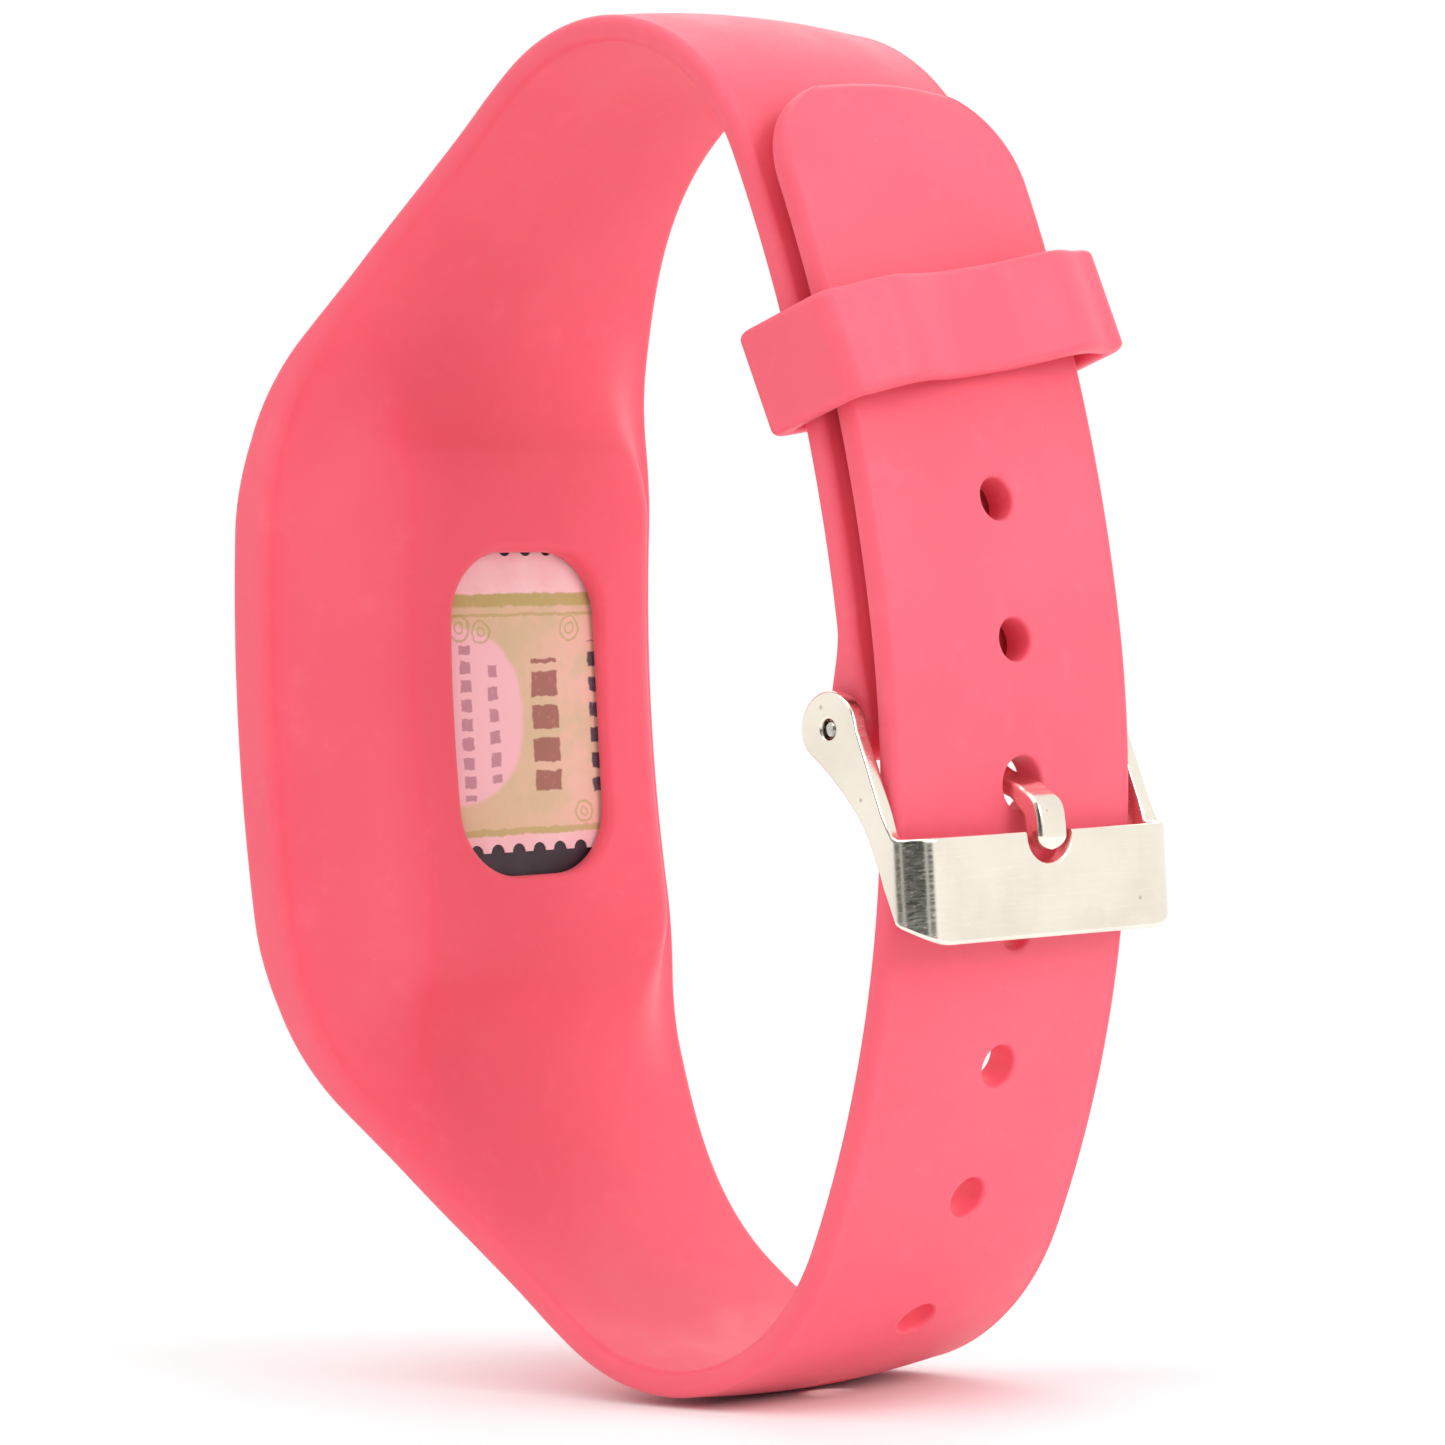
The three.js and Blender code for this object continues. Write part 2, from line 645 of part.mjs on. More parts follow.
function keeperOutline() {
  const shares = [-1, -0.86, -0.72, -0.58, -0.42, -0.2, 0, 0.2, 0.42, 0.58, 0.72, 0.86, 1];
  const outer = shares.map((share) => {
    const across = share * (keeperOuterHalf - 0.5);
    return [across, keeperRoof + keeperWall + keeperRoofAt(across)];
  });
  const inner = shares.map((share) => {
    const across = share * (keeperInnerHalf - 0.3);
    return [across, keeperRoof + keeperRoofAt(across)];
  });
  const bottom = keeperFloor - keeperWall;
  const outline = polygon([
    [-keeperOuterHalf + 0.5, bottom],
    [keeperOuterHalf - 0.5, bottom],
    [keeperOuterHalf, bottom + 0.5],
    [keeperOuterHalf, keeperRoof + keeperWall - 0.5],
    ...outer.reverse(),
    [-keeperOuterHalf, keeperRoof + keeperWall - 0.5],
    [-keeperOuterHalf, bottom + 0.5],
  ]);
  const opening = [
    [-keeperInnerHalf, keeperFloor],
    [-keeperInnerHalf, keeperRoof - 0.3],
    ...inner,
    [keeperInnerHalf, keeperRoof - 0.3],
    [keeperInnerHalf, keeperFloor],
  ];
  outline.holes.push(new THREE.Path(opening.map(([across, out]) => new THREE.Vector2(across, out))));
  return outline;
}

const keeperBlank = new THREE.ExtrudeGeometry(keeperOutline(), { depth: keeperHeight, bevelEnabled: false });
keeperBlank.translate(0, 0, -keeperHeight / 2);
// Outline across is Y and outline up is outward; the extrusion runs down the strap.
keeperBlank.applyMatrix4(new THREE.Matrix4().set(0, 1, 0, 0, 1, 0, 0, 0, 0, 0, -1, 0, 0, 0, 0, 1));
keeperBlank.rotateX(keeperSkew * degrees);
keeperBlank.rotateY(-keeperAngle * degrees);
keeperBlank.translate(
  frontArc.x + frontRadius * Math.cos(keeperAngle * degrees),
  0,
  frontArc.z + frontRadius * Math.sin(keeperAngle * degrees),
);
addPart("keeper_loop", solidOf(keeperBlank), "silicone");

// ---- Buckle frame, bent from one strip ----
const frameInner = buckleInnerWidth / 2;
const frameOuter = frameInner + sheet;
const barFrontX = barX + barReach;
const barTopZ = barZ - barDrop;
const barBottomZ = barTopZ - barHeight;
const planBackX = barX - earRadius - 1;
const foldX = barFrontX - buckleFoldRadius;
const foldY = frameOuter - buckleFoldRadius;
const plan = new THREE.Shape();
plan.moveTo(planBackX, -frameOuter);
plan.lineTo(foldX, -frameOuter);
plan.absarc(foldX, -foldY, buckleFoldRadius, -Math.PI / 2, 0, false);
plan.absarc(foldX, foldY, buckleFoldRadius, 0, Math.PI / 2, false);
plan.lineTo(planBackX, frameOuter);
plan.lineTo(planBackX, frameInner);
plan.absarc(foldX, foldY, buckleFoldRadius - sheet, Math.PI / 2, 0, true);
plan.absarc(foldX, -foldY, buckleFoldRadius - sheet, 0, -Math.PI / 2, true);
plan.lineTo(planBackX, -frameInner);

const side = new THREE.Shape();
side.absarc(barX, barZ, earRadius, 0, Math.PI * 1.18, false);
side.splineThru(
  fromBar([
    [barReach * 0.02, -barDrop * 0.45],
    [barReach * 0.33, -barDrop * 0.8],
    [barReach * 0.5, -barDrop * 1.12],
    [barReach * 0.66, -barDrop * 1.6],
    [barReach * 0.75, -barDrop - barHeight],
  ]),
);
side.lineTo(barFrontX + 1, barBottomZ);
side.lineTo(barFrontX + 1, barTopZ);
side.lineTo(foldX + 0.5, barTopZ);

const face = new THREE.Shape();
face.moveTo(-frameOuter + barCorner, barBottomZ);
face.lineTo(frameOuter - barCorner, barBottomZ);
face.absarc(frameOuter - barCorner, barBottomZ + barCorner, barCorner, -Math.PI / 2, 0, false);
face.lineTo(frameOuter + 1, barZ + earRadius + 1);
face.lineTo(-frameOuter - 1, barZ + earRadius + 1);
face.absarc(-frameOuter + barCorner, barBottomZ + barCorner, barCorner, Math.PI, Math.PI * 1.5, false);

const notch = stud(notchRadius, barFrontX - 2, barFrontX + 2, 0, barTopZ, 24);
const earHoles = solidOf(rod(earHoleRadius, -strapWidth, strapWidth, barX, barZ, 16));
const frame = alongZ(plan, barBottomZ - 1, barZ + earRadius + 1, 4)
  .intersect(alongY(side, -frameOuter - 1, frameOuter + 1, 7))
  .intersect(alongX(face, barX - earRadius - 2, barFrontX + 2, 4))
  .subtract(notch)
  .subtract(earHoles);
addPart("buckle_frame", frame, "steel");

// ---- Buckle tongue: an eye on the spring bar and a flat finger ----
const fingerSteps = 14;
const tongueSteps = tongueLine.getSpacedPoints(fingerSteps);
const sideOf = (step, away) => {
  const tangent = tongueLine.getTangentAt(step / fingerSteps);
  const point = tongueSteps[step];
  return [point.x - tangent.y * away, point.y + tangent.x * away];
};
const stepList = tongueSteps.map((point, step) => step);
const fingerOutline = polygon([
  ...stepList.map((step) => sideOf(step, -tongueThickness / 2)),
  ...stepList.map((step) => sideOf(step, tongueThickness / 2)).reverse(),
]);
const finger = alongY(fingerOutline, -tongueWidth / 2, tongueWidth / 2);
const tongue = solidOf(rod(tongueEyeRadius, -tongueWidth / 2, tongueWidth / 2, barX, barZ, 20))
  .add(finger)
  .subtract(solidOf(rod(barBoreRadius, -tongueWidth, tongueWidth, barX, barZ, 20)));
addPart("buckle_tongue", tongue, "steel");

// ---- Spring bar ----
const tubeHalf = barTubeLength / 2;
const barTube = solidOf(rod(barTubeRadius, -tubeHalf, tubeHalf, barX, barZ, 20));
const tubeBore = solidOf(rod(barTubeRadius - barTubeWall, -strapWidth, strapWidth, barX, barZ, 16));
addPart("spring_bar_tube", barTube.subtract(tubeBore), "steel");

const collarInside = strapEndWidth / 2 + smallGap;
for (const [name, sign] of [["spring_bar_pin_near", -1], ["spring_bar_pin_far", 1]]) {
  const lathePoints = [
    [0, tubeHalf - pinShankInside],
    [pinShankRadius, tubeHalf - pinShankInside],
    [pinShankRadius, collarInside],
    [pinCollarRadius, collarInside],
    [pinCollarRadius, collarInside + pinCollarLength],
    [pinTipRadius, collarInside + pinCollarLength],
    [pinTipRadius, frameOuter - 0.3],
    [pinTipRadius * 0.6, frameOuter - 0.1],
    [0, frameOuter - 0.1],
  ].map(([radius, along]) => new THREE.Vector2(radius, along));
  const pin = new THREE.LatheGeometry(lathePoints, 14);
  if (sign < 0) pin.rotateX(Math.PI);
  pin.translate(barX, 0, barZ);
  addPart(name, solidOf(pin), "steel");
}

class Helix extends THREE.Curve {
  constructor(radius, length, turns) {
    super();
    Object.assign(this, { radius, length, turns });
  }
  getPoint(share, target = new THREE.Vector3()) {
    const angle = share * this.turns * Math.PI * 2;
    return target.set(this.radius * Math.cos(angle), (share - 0.5) * this.length, this.radius * Math.sin(angle));
  }
}

const springRoom = (tubeHalf - pinShankInside - smallGap - springWire) * 2;
const springSection = polygon([0, 1, 2, 3, 4].map((corner) => {
  const angle = (corner * Math.PI * 2) / 5;
  return [springWire * Math.cos(angle), springWire * Math.sin(angle)];
}));
const spring = new THREE.ExtrudeGeometry(springSection, {
  steps: springTurns * 8,
  bevelEnabled: false,
  extrudePath: new Helix(springRadius, springRoom, springTurns),
});
spring.translate(barX, 0, barZ);
addPart("spring_bar_spring", solidOf(spring), "steel");

// ---- Depths and lengths of the display stack ----
const lcdBackX = hollowFrontX + lcdThickness;
const boardFrontX = lcdBackX + zebraDepth;
const boardBackX = boardFrontX + boardThickness;
const lcdEdge = lcdHolderWall + smallGap;
const lcdHigh = boardHalfLength - lcdEdge;
const lcdLow = keyCentre + keyRadius + keySkirtWidth + runningGap + lcdEdge;
const viewHalfWidth = lensWidth / 2 - lensLedge;

// ---- Core shells ----
const hollowOutline = (grow) =>
  roundedOutline((hollowHalfWidth + grow) * 2, (hollowHalfLength + grow) * 2, hollowCorner + grow);
const hollow = alongX(hollowOutline(0), hollowFrontX, splitX + 1, 3);
const sealRing = (grow) =>
  roundedOutline((sealHalfWidth + grow) * 2, (sealHalfLength + grow) * 2, sealCorner + grow);
function ringAlongX(outer, inner, lowX, highX) {
  return alongX(outer, lowX, highX).subtract(alongX(inner, lowX - 1, highX + 1));
}
const halfGroove = sealWidth / 2;
const groove = ringAlongX(sealRing(halfGroove), sealRing(-halfGroove), splitX - sealDepth, splitX + 1);
const far = 40;
const keyRoom = stud(keyRadius + smallGap, coreFrontX - 1, hollowFrontX + 1, 0, keyCentre, 24);
let frontCase = core
  .intersect(boxSolid(coreFrontX - 5, splitX, -far, far, -far, far))
  .subtract(hollow)
  .subtract(groove)
  .subtract(keyRoom)
  .subtract(alongX(lensOutline(smallGap), coreFrontX - 2, lensBackX))
  .subtract(boxSolid(coreFrontX - 2, hollowFrontX + 1, -viewHalfWidth, viewHalfWidth, lcdLow + 1, lcdHigh - 1));
for (const [y, z] of screwPlaces) {
  const screwHole = stud(screwRadius + smallGap, splitX - screwLength + coverDepth, splitX + 1, y, z, 12);
  frontCase = frontCase.subtract(screwHole);
}
addPart("core_front_case", frontCase, "plastic");

const coverRecess = hollowOutline(-coverRecessInset);
let backCover = core
  .intersect(boxSolid(splitX, coreBackX + 1, -far, far, -far, far))
  .subtract(alongX(coverRecess, splitX - 1, coreBackX - coverSkin, 3));
for (const [y, z] of screwPlaces) {
  backCover = backCover
    .subtract(stud(screwRadius + smallGap, splitX - 1, coreBackX + 1, y, z, 12))
    .subtract(stud(screwHeadRadius + smallGap, coreBackX - screwHeadDepth - smallGap, coreBackX + 1, y, z, 16));
}
addPart("core_back_cover", backCover, "plastic");

const sealBody = halfGroove - 0.05;
addPart("cover_seal", ringAlongX(sealRing(sealBody), sealRing(-sealBody), splitX - sealDepth, splitX), "rubber");

screwPlaces.forEach(([y, z], place) => {
  const headX = coreBackX - smallGap;
  const shank = stud(screwRadius, headX - screwLength + smallGap * 3, headX - screwHeadDepth + 0.1, y, z, 12);
  const head = stud(screwHeadRadius, headX - screwHeadDepth, headX, y, z, 16);
  const slotOf = (across, along) =>
    boxSolid(headX - driverDepth, headX + 1, y - across / 2, y + across / 2, z - along / 2, z + along / 2);
  const driverCross = slotOf(driverWidth, driverLength).add(slotOf(driverLength, driverWidth));
  const screw = head.add(shank).subtract(driverCross);
  addPart(`case_screw_${place + 1}`, screw, "steel");
});

// ---- Display stack ----
const lensSurface = frontSkin - lensSunk;
const lensProfile = polygon([
  ...[1, 0.66, 0.33, 0, -0.33, -0.66, -1].map((share) => {
    const along = (share * lensLength) / 2;
    return [coreFrontAt(along, lensSurface), along];
  }),
  [lensBackX, -lensLength / 2],
  [lensBackX, lensLength / 2],
]);
const lens = alongX(lensOutline(0), frontFaceX - 2, lensBackX)
  .intersect(alongY(lensProfile, -lensWidth, lensWidth))
  .subtract(stud(keyRadius + smallGap, frontFaceX - 2, lensBackX + 1, 0, keyCentre, 24));
addPart("display_window", lens, "lens");

addPart("lcd_panel", boxSolid(hollowFrontX, lcdBackX, -lcdWidth / 2, lcdWidth / 2, lcdLow, lcdHigh), "glass");

const holderHalfWidth = lcdWidth / 2 + smallGap;
const holder = boxSolid(
  hollowFrontX,
  boardFrontX,
  -holderHalfWidth - lcdHolderWall,
  holderHalfWidth + lcdHolderWall,
  lcdLow - lcdEdge,
  lcdHigh + lcdEdge,
).subtract(
  boxSolid(
    hollowFrontX - 1,
    boardFrontX + 1,
    -holderHalfWidth,
    holderHalfWidth,
    lcdLow - smallGap,
    lcdHigh + smallGap,
  ),
);
addPart("lcd_holder", holder, "white");

const zebraHalf = lcdWidth / 2 - zebraInset;
for (const [name, low] of [["zebra_strip_upper", lcdHigh - zebraWidth], ["zebra_strip_lower", lcdLow]]) {
  addPart(name, boxSolid(lcdBackX, boardFrontX, -zebraHalf, zebraHalf, low, low + zebraWidth), "rubber");
}
const lightGap = zebraWidth + runningGap;
const lightBackX = boardFrontX - smallGap;
addPart(
  "backlight_sheet",
  boxSolid(lcdBackX, lightBackX, -zebraHalf, zebraHalf, lcdLow + lightGap, lcdHigh - lightGap),
  "white",
);

// ---- Board and what is soldered to it ----
const boardOutline = hollowOutline(-boardEdgeGap);
addPart("circuit_board", alongX(boardOutline, boardFrontX, boardBackX, 3), "board");

const cellTop = cellCentre + cellRadius;

function onBoard(name, y, z, width, length, depth, material) {
  const box = new THREE.BoxGeometry(depth, width, length);
  box.translate(boardBackX + depth / 2, y, z);
  addPart(name, solidOf(box), material);
}
onBoard("controller_chip", -2.6, cellTop + 5, 5, 5, 1.0, "chip");
onBoard("motion_sensor", 3.8, cellTop + 6.2, 2.5, 2.5, 0.9, "chip");
onBoard("crystal_can", 3.8, cellTop + 2.8, 3.2, 1.5, 0.8, "steel");
onBoard("smoothing_capacitor_1", -3.6, cellTop + 9.6, 1.6, 0.8, 0.8, "chip");
onBoard("smoothing_capacitor_2", -0.8, cellTop + 9.6, 1.6, 0.8, 0.8, "chip");
onBoard("light_resistor", 2.0, cellTop + 9.6, 1.6, 0.8, 0.5, "chip");

const switchHalf = keySwitchWidth / 2;
addPart(
  "key_switch",
  boxSolid(
    boardFrontX - keySwitchDepth,
    boardFrontX,
    -switchHalf,
    switchHalf,
    keyCentre - switchHalf,
    keyCentre + switchHalf,
  ),
  "steel",
);
const keyFaceX = coreFrontAt(keyCentre, lensSurface) - keyProud;
const keyFootX = boardFrontX - keySwitchDepth - keyTravel - 0.05;
const keyStem = stud(keyRadius - 0.05, keyFaceX, keyFootX - keyFlange + 0.1, 0, keyCentre, 24);
const keySkirt = stud(keyRadius + keySkirtWidth, keyFootX - keyFlange, keyFootX, 0, keyCentre, 24);
addPart("key_cap", keyStem.add(keySkirt), "plastic");

// ---- Coin cell between its two contacts ----
const cellFrontX = boardBackX + contactSheet;
const cellBackX = cellFrontX + cellThickness;
const contactHalf = contactWidth / 2;
const contactLow = cellCentre - contactLength / 2;
const contact = boxSolid(boardBackX, cellFrontX, -contactHalf, contactHalf, contactLow, contactLow + contactLength);
addPart("cell_contact_front", contact, "steel");
addPart("coin_cell", stud(cellRadius, cellFrontX, cellBackX, 0, cellCentre, 32), "steel");
const clipOuter = cellRadius + smallGap * 2 + contactSheet * 2;
const clipLow = cellCentre - contactHalf;
const clipBackX = cellBackX + contactSheet;
const clip = boxSolid(boardBackX, clipBackX, -clipOuter, clipOuter, clipLow, clipLow + contactWidth)
  .subtract(boxSolid(boardBackX - 1, cellBackX, -cellRadius - smallGap, cellRadius + smallGap, -far, far));
addPart("cell_clip_back", clip, "steel");

// ---- Paper seal on the back cover, seen through the back window ----
const labelHalfWidth = backWindowWidth / 2 + labelOverlap;
const labelLow = -backWindowLength / 2 + labelLowGap;
const labelHigh = backWindowLength / 2 + labelOverlap;
addPart(
  "seal_label",
  boxSolid(coreBackX, coreBackX + labelThickness, -labelHalfWidth, labelHalfWidth, labelLow, labelHigh),
  "paper",
);

export default tracker;
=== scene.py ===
import math

import bpy
import numpy as np
from mathutils import Matrix, Vector


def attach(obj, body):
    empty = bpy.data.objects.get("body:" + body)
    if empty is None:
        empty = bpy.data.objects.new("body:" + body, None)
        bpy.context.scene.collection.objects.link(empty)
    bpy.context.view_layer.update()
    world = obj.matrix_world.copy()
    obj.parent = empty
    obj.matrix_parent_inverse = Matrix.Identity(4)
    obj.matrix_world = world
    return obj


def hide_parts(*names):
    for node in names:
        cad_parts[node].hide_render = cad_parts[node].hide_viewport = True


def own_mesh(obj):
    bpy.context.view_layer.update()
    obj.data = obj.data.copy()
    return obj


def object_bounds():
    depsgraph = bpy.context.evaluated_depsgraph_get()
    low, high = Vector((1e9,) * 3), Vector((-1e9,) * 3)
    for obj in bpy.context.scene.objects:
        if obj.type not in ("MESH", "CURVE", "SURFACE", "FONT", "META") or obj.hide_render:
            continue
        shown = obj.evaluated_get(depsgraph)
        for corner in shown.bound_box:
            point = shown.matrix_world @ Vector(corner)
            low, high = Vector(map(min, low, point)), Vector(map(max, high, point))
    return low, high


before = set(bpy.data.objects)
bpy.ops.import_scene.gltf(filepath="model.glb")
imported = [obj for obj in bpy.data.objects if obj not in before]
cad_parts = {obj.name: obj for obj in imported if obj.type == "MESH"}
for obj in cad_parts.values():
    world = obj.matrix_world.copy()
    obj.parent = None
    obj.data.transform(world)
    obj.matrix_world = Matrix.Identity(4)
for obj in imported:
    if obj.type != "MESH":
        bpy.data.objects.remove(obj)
cad_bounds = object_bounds()

# Shapes are worked out in millimetres and degrees, in the part's own frame: X from the display face
# to the buckle, Y along the wrist, Z up. Meshes are made in metres.
MM = 0.001
RIGHT_ANGLE = math.pi / 2

# ---------------------------------------------------------------- camera

CAMERA_TURN = math.radians(47.6)
CAMERA_ROLL = math.radians(-2.9)
CAMERA_DISTANCE = 277 * MM
CAMERA_TARGET = Vector((0, 0, -3.4 * MM))
CAMERA_LENS = 122.2
CAMERA_SHIFT = (0.0071, 0.0273)


def add_camera():
    """The camera stands level with the band, off the buckle's near side, and leans a little."""
    back = Vector((math.sin(CAMERA_TURN), -math.cos(CAMERA_TURN), 0))
    right = Vector((math.cos(CAMERA_TURN), math.sin(CAMERA_TURN), 0))
    up = Vector((0, 0, 1))
    rolled_right = right * math.cos(CAMERA_ROLL) + up * math.sin(CAMERA_ROLL)
    rolled_up = up * math.cos(CAMERA_ROLL) - right * math.sin(CAMERA_ROLL)
    data = bpy.data.cameras.new("camera")
    data.lens = CAMERA_LENS
    data.sensor_width = 36
    data.shift_x, data.shift_y = CAMERA_SHIFT
    data.clip_start = 0.01
    camera = bpy.data.objects.new("camera", data)
    turn = Matrix((rolled_right, rolled_up, back)).transposed().to_4x4()
    camera.matrix_world = Matrix.Translation(CAMERA_TARGET + back * CAMERA_DISTANCE) @ turn
    bpy.context.scene.collection.objects.link(camera)
    bpy.context.scene.camera = camera


add_camera()

# ---------------------------------------------------------------- mesh helpers


def smooth_step(share):
    """Rises from 0 to 1 as share does, level at both ends: 3 s squared minus 2 s cubed."""
    share = np.clip(share, 0, 1)
    return share * share * (3 - 2 * share)


def mesh_object(name, points, faces):
    """A mesh object from points (n, 3) in millimetres and a list of face arrays, smooth shaded."""
    mesh = bpy.data.meshes.new(name)
    sizes = np.concatenate([np.full(len(group), group.shape[1]) for group in faces])
    corners = np.concatenate([group.ravel() for group in faces]).astype(np.int32)
    mesh.vertices.add(len(points))
    mesh.vertices.foreach_set("co", np.ascontiguousarray(points * MM, np.float32).ravel())
    mesh.loops.add(len(corners))
    mesh.loops.foreach_set("vertex_index", corners)
    mesh.polygons.add(len(sizes))
    starts = np.concatenate([[0], np.cumsum(sizes)[:-1]]).astype(np.int32)
    mesh.polygons.foreach_set("loop_start", starts)
    mesh.update(calc_edges=True)
    mesh.polygons.foreach_set("use_smooth", np.ones(len(mesh.polygons), bool))
    piece = bpy.data.objects.new(name, mesh)
    bpy.context.scene.collection.objects.link(piece)
    return piece


def rings_mesh(rings, wrap=False, start=0):
    """Points and faces of a tube of rings (rows, columns, 3), each ring anticlockwise when looked at
    from the side that the rows lead to. Its ends are closed by fans to their middles, unless the
    rows wrap round."""
    rows, columns = rings.shape[:2]
    row = np.arange(rows if wrap else rows - 1)[:, None]
    column = np.arange(columns)[None, :]
    after_row, after_column = (row + 1) % rows, (column + 1) % columns
    corners = [
        row * columns + column,
        row * columns + after_column,
        after_row * columns + after_column,
        after_row * columns + column,
    ]
    quads = np.stack([np.broadcast_to(corner, (len(row), columns)) for corner in corners], axis=-1)
    points = rings.reshape(-1, 3)
    faces = [quads.reshape(-1, 4) + start]
    if not wrap:
        points = np.vstack([points, rings[0].mean(0), rings[-1].mean(0)])
        around = np.arange(columns)
        following = (around + 1) % columns
        last = (rows - 1) * columns
        first_fan = np.stack([np.full(columns, rows * columns), following, around], axis=-1)
        last_fan = np.stack([np.full(columns, rows * columns + 1), last + around, last + following], axis=-1)
        faces += [first_fan + start, last_fan + start]
    return points, faces


def tube(name, rings, wrap=False):
    """One closed tube object from its rings."""
    return mesh_object(name, *rings_mesh(rings, wrap))


def several(name, ring_sets):
    """One mesh object of several closed tubes that don't touch."""
    points, faces, start = [], [], 0
    for rings in ring_sets:
        more_points, more_faces = rings_mesh(rings, start=start)
        points.append(more_points)
        faces += more_faces
        start += len(more_points)
    return mesh_object(name, np.vstack(points), [f for f in faces if f.shape[1] == 4] + [f for f in faces if f.shape[1] == 3])


def cut(piece, cutter):
    """Takes the cutter's solid out of the piece for good, and throws the cutter away."""
    step = piece.modifiers.new("cut", "BOOLEAN")
    step.operation = "DIFFERENCE"
    step.solver = "MANIFOLD"
    step.object = cutter
    settled = bpy.data.meshes.new_from_object(piece.evaluated_get(bpy.context.evaluated_depsgraph_get()))
    piece.modifiers.clear()
    old = piece.data
    settled.name = old.name + "_cut"
    piece.data = settled
    bpy.data.meshes.remove(old)
    bpy.data.objects.remove(cutter)


def finish_piece(piece, body, node=None, sharp=35):
    """Smooth shading with edges over the sharp angle kept crisp; the piece rides on its body and
    stands for its CAD node."""
    piece.data.polygons.foreach_set("use_smooth", np.ones(len(piece.data.polygons), bool))
    piece.data.set_sharp_from_angle(angle=math.radians(sharp))
    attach(piece, body)
    if node:
        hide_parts(node)
    return piece


def quarter(count):
    """Angles of a quarter turn, from 0 to a right angle."""
    return np.linspace(0, math.pi / 2, count)


def rounded_rectangle(half_across, half_along, corner, corner_steps=12, edge_steps=14):
    """Points of a rounded rectangle, anticlockwise from the middle of its right side."""
    turn = quarter(corner_steps)
    across, along = half_across - corner, half_along - corner
    share = np.linspace(-1, 1, edge_steps + 2)[1:-1]
    sides = [
        (np.full(edge_steps, half_across), share * along),
        (across + corner * np.cos(turn), along + corner * np.sin(turn)),
        (-share * across, np.full(edge_steps, half_along)),
        (-across - corner * np.sin(turn), along + corner * np.cos(turn)),
        (np.full(edge_steps, -half_across), -share * along),
        (-across - corner * np.cos(turn), -along - corner * np.sin(turn)),
        (share * across, np.full(edge_steps, -half_along)),
        (across + corner * np.sin(turn), -along - corner * np.cos(turn)),
    ]
    return np.concatenate([side[0] for side in sides]), np.concatenate([side[1] for side in sides])


def through(points, count):
    """A smooth line through the points: each stretch is the cubic whose end slopes are half the
    step between the neighbours on either side."""
    points = np.asarray(points, float)
    padded = np.vstack([2 * points[0] - points[1], points, 2 * points[-1] - points[-2]])
    place = np.linspace(0, len(points) - 1, count)
    index = np.minimum(place.astype(int), len(points) - 2)
    share = (place - index)[:, None]
    before, start, end, after = (padded[index + step] for step in range(4))
    slope_in, slope_out = (end - before) / 2, (after - start) / 2
    cube = 2 * (start - end) + slope_in + slope_out
    square = 3 * (end - start) - 2 * slope_in - slope_out
    return ((cube * share + square) * share + slope_in) * share + start


def even_steps(line, count):
    """The line's points spaced out evenly by length."""
    length = np.concatenate([[0], np.cumsum(np.hypot(*np.diff(line, axis=0).T))])
    wanted = np.linspace(0, length[-1], count)
    return np.stack([np.interp(wanted, length, line[:, axis]) for axis in range(line.shape[1])], axis=-1), wanted


def lathe(profile, sides, centre, out, side_way, along_y=False):
    """A profile of (radius, distance along) turned about an axis through the centre."""
    profile = np.asarray(profile, float)
    angle = np.arange(sides) * 2 * math.pi / sides
    out, side_way = np.asarray(out, float), np.asarray(side_way, float)
    third = np.cross(out, side_way)
    spoke = np.cos(angle)[:, None] * side_way + np.sin(angle)[:, None] * third
    return np.asarray(centre) + profile[:, 0, None, None] * spoke + profile[:, 1, None, None] * out


# ---------------------------------------------------------------- the loop line

MODULE_X = -21.4
SLEEVE_RADIUS = 93
SLEEVE_SWEEP = math.asin(16.15 / SLEEVE_RADIUS)
SHOULDER = (12.1, math.radians(24))
FLANK = (47.4, math.radians(24))
TOP_BEND = (12, math.radians(100))
FRONT_RADIUS = 89
FOOT_RADIUS = 13.7
TAIL_LIFT = math.radians(5)
SPRING_BAR_ANGLE = math.radians(1.6)
STRAP_THICKNESS = 2.0
STACK_GAP = 0.5
KEEPER_ANGLE = math.radians(14.6)
KEEPER_HEIGHT = 5.8
TAIL_BEYOND_KEEPER = 11.4


def next_arc(arc, radius, sweep):
    """The arc that carries on from the end of the last one: (centre x, centre z, radius, from, to)."""
    x, z, last_radius, _, heading = arc
    shift = radius - last_radius
    return (x + shift * math.cos(heading), z - shift * math.sin(heading), radius, heading, heading + sweep)


def chain(arcs):
    """The arcs as rows, each with the distance at which it begins, and the whole length."""
    rows = np.array(arcs, float)
    lengths = rows[:, 2] * (rows[:, 4] - rows[:, 3])
    begins = np.concatenate([[0], np.cumsum(lengths)])
    return np.column_stack([rows, begins[:-1]]), begins[-1]


shared_arcs = [(MODULE_X + SLEEVE_RADIUS, 0, SLEEVE_RADIUS, 0, SLEEVE_SWEEP)]
shared_arcs.append(next_arc(shared_arcs[-1], *SHOULDER))
shared_arcs.append(next_arc(shared_arcs[-1], *FLANK))
upper_arcs = [*shared_arcs, next_arc(shared_arcs[-1], *TOP_BEND)]
upper_arcs.append(next_arc(upper_arcs[-1], FRONT_RADIUS, math.pi - SPRING_BAR_ANGLE - upper_arcs[-1][4]))
FRONT_X, FRONT_Z = upper_arcs[-1][:2]

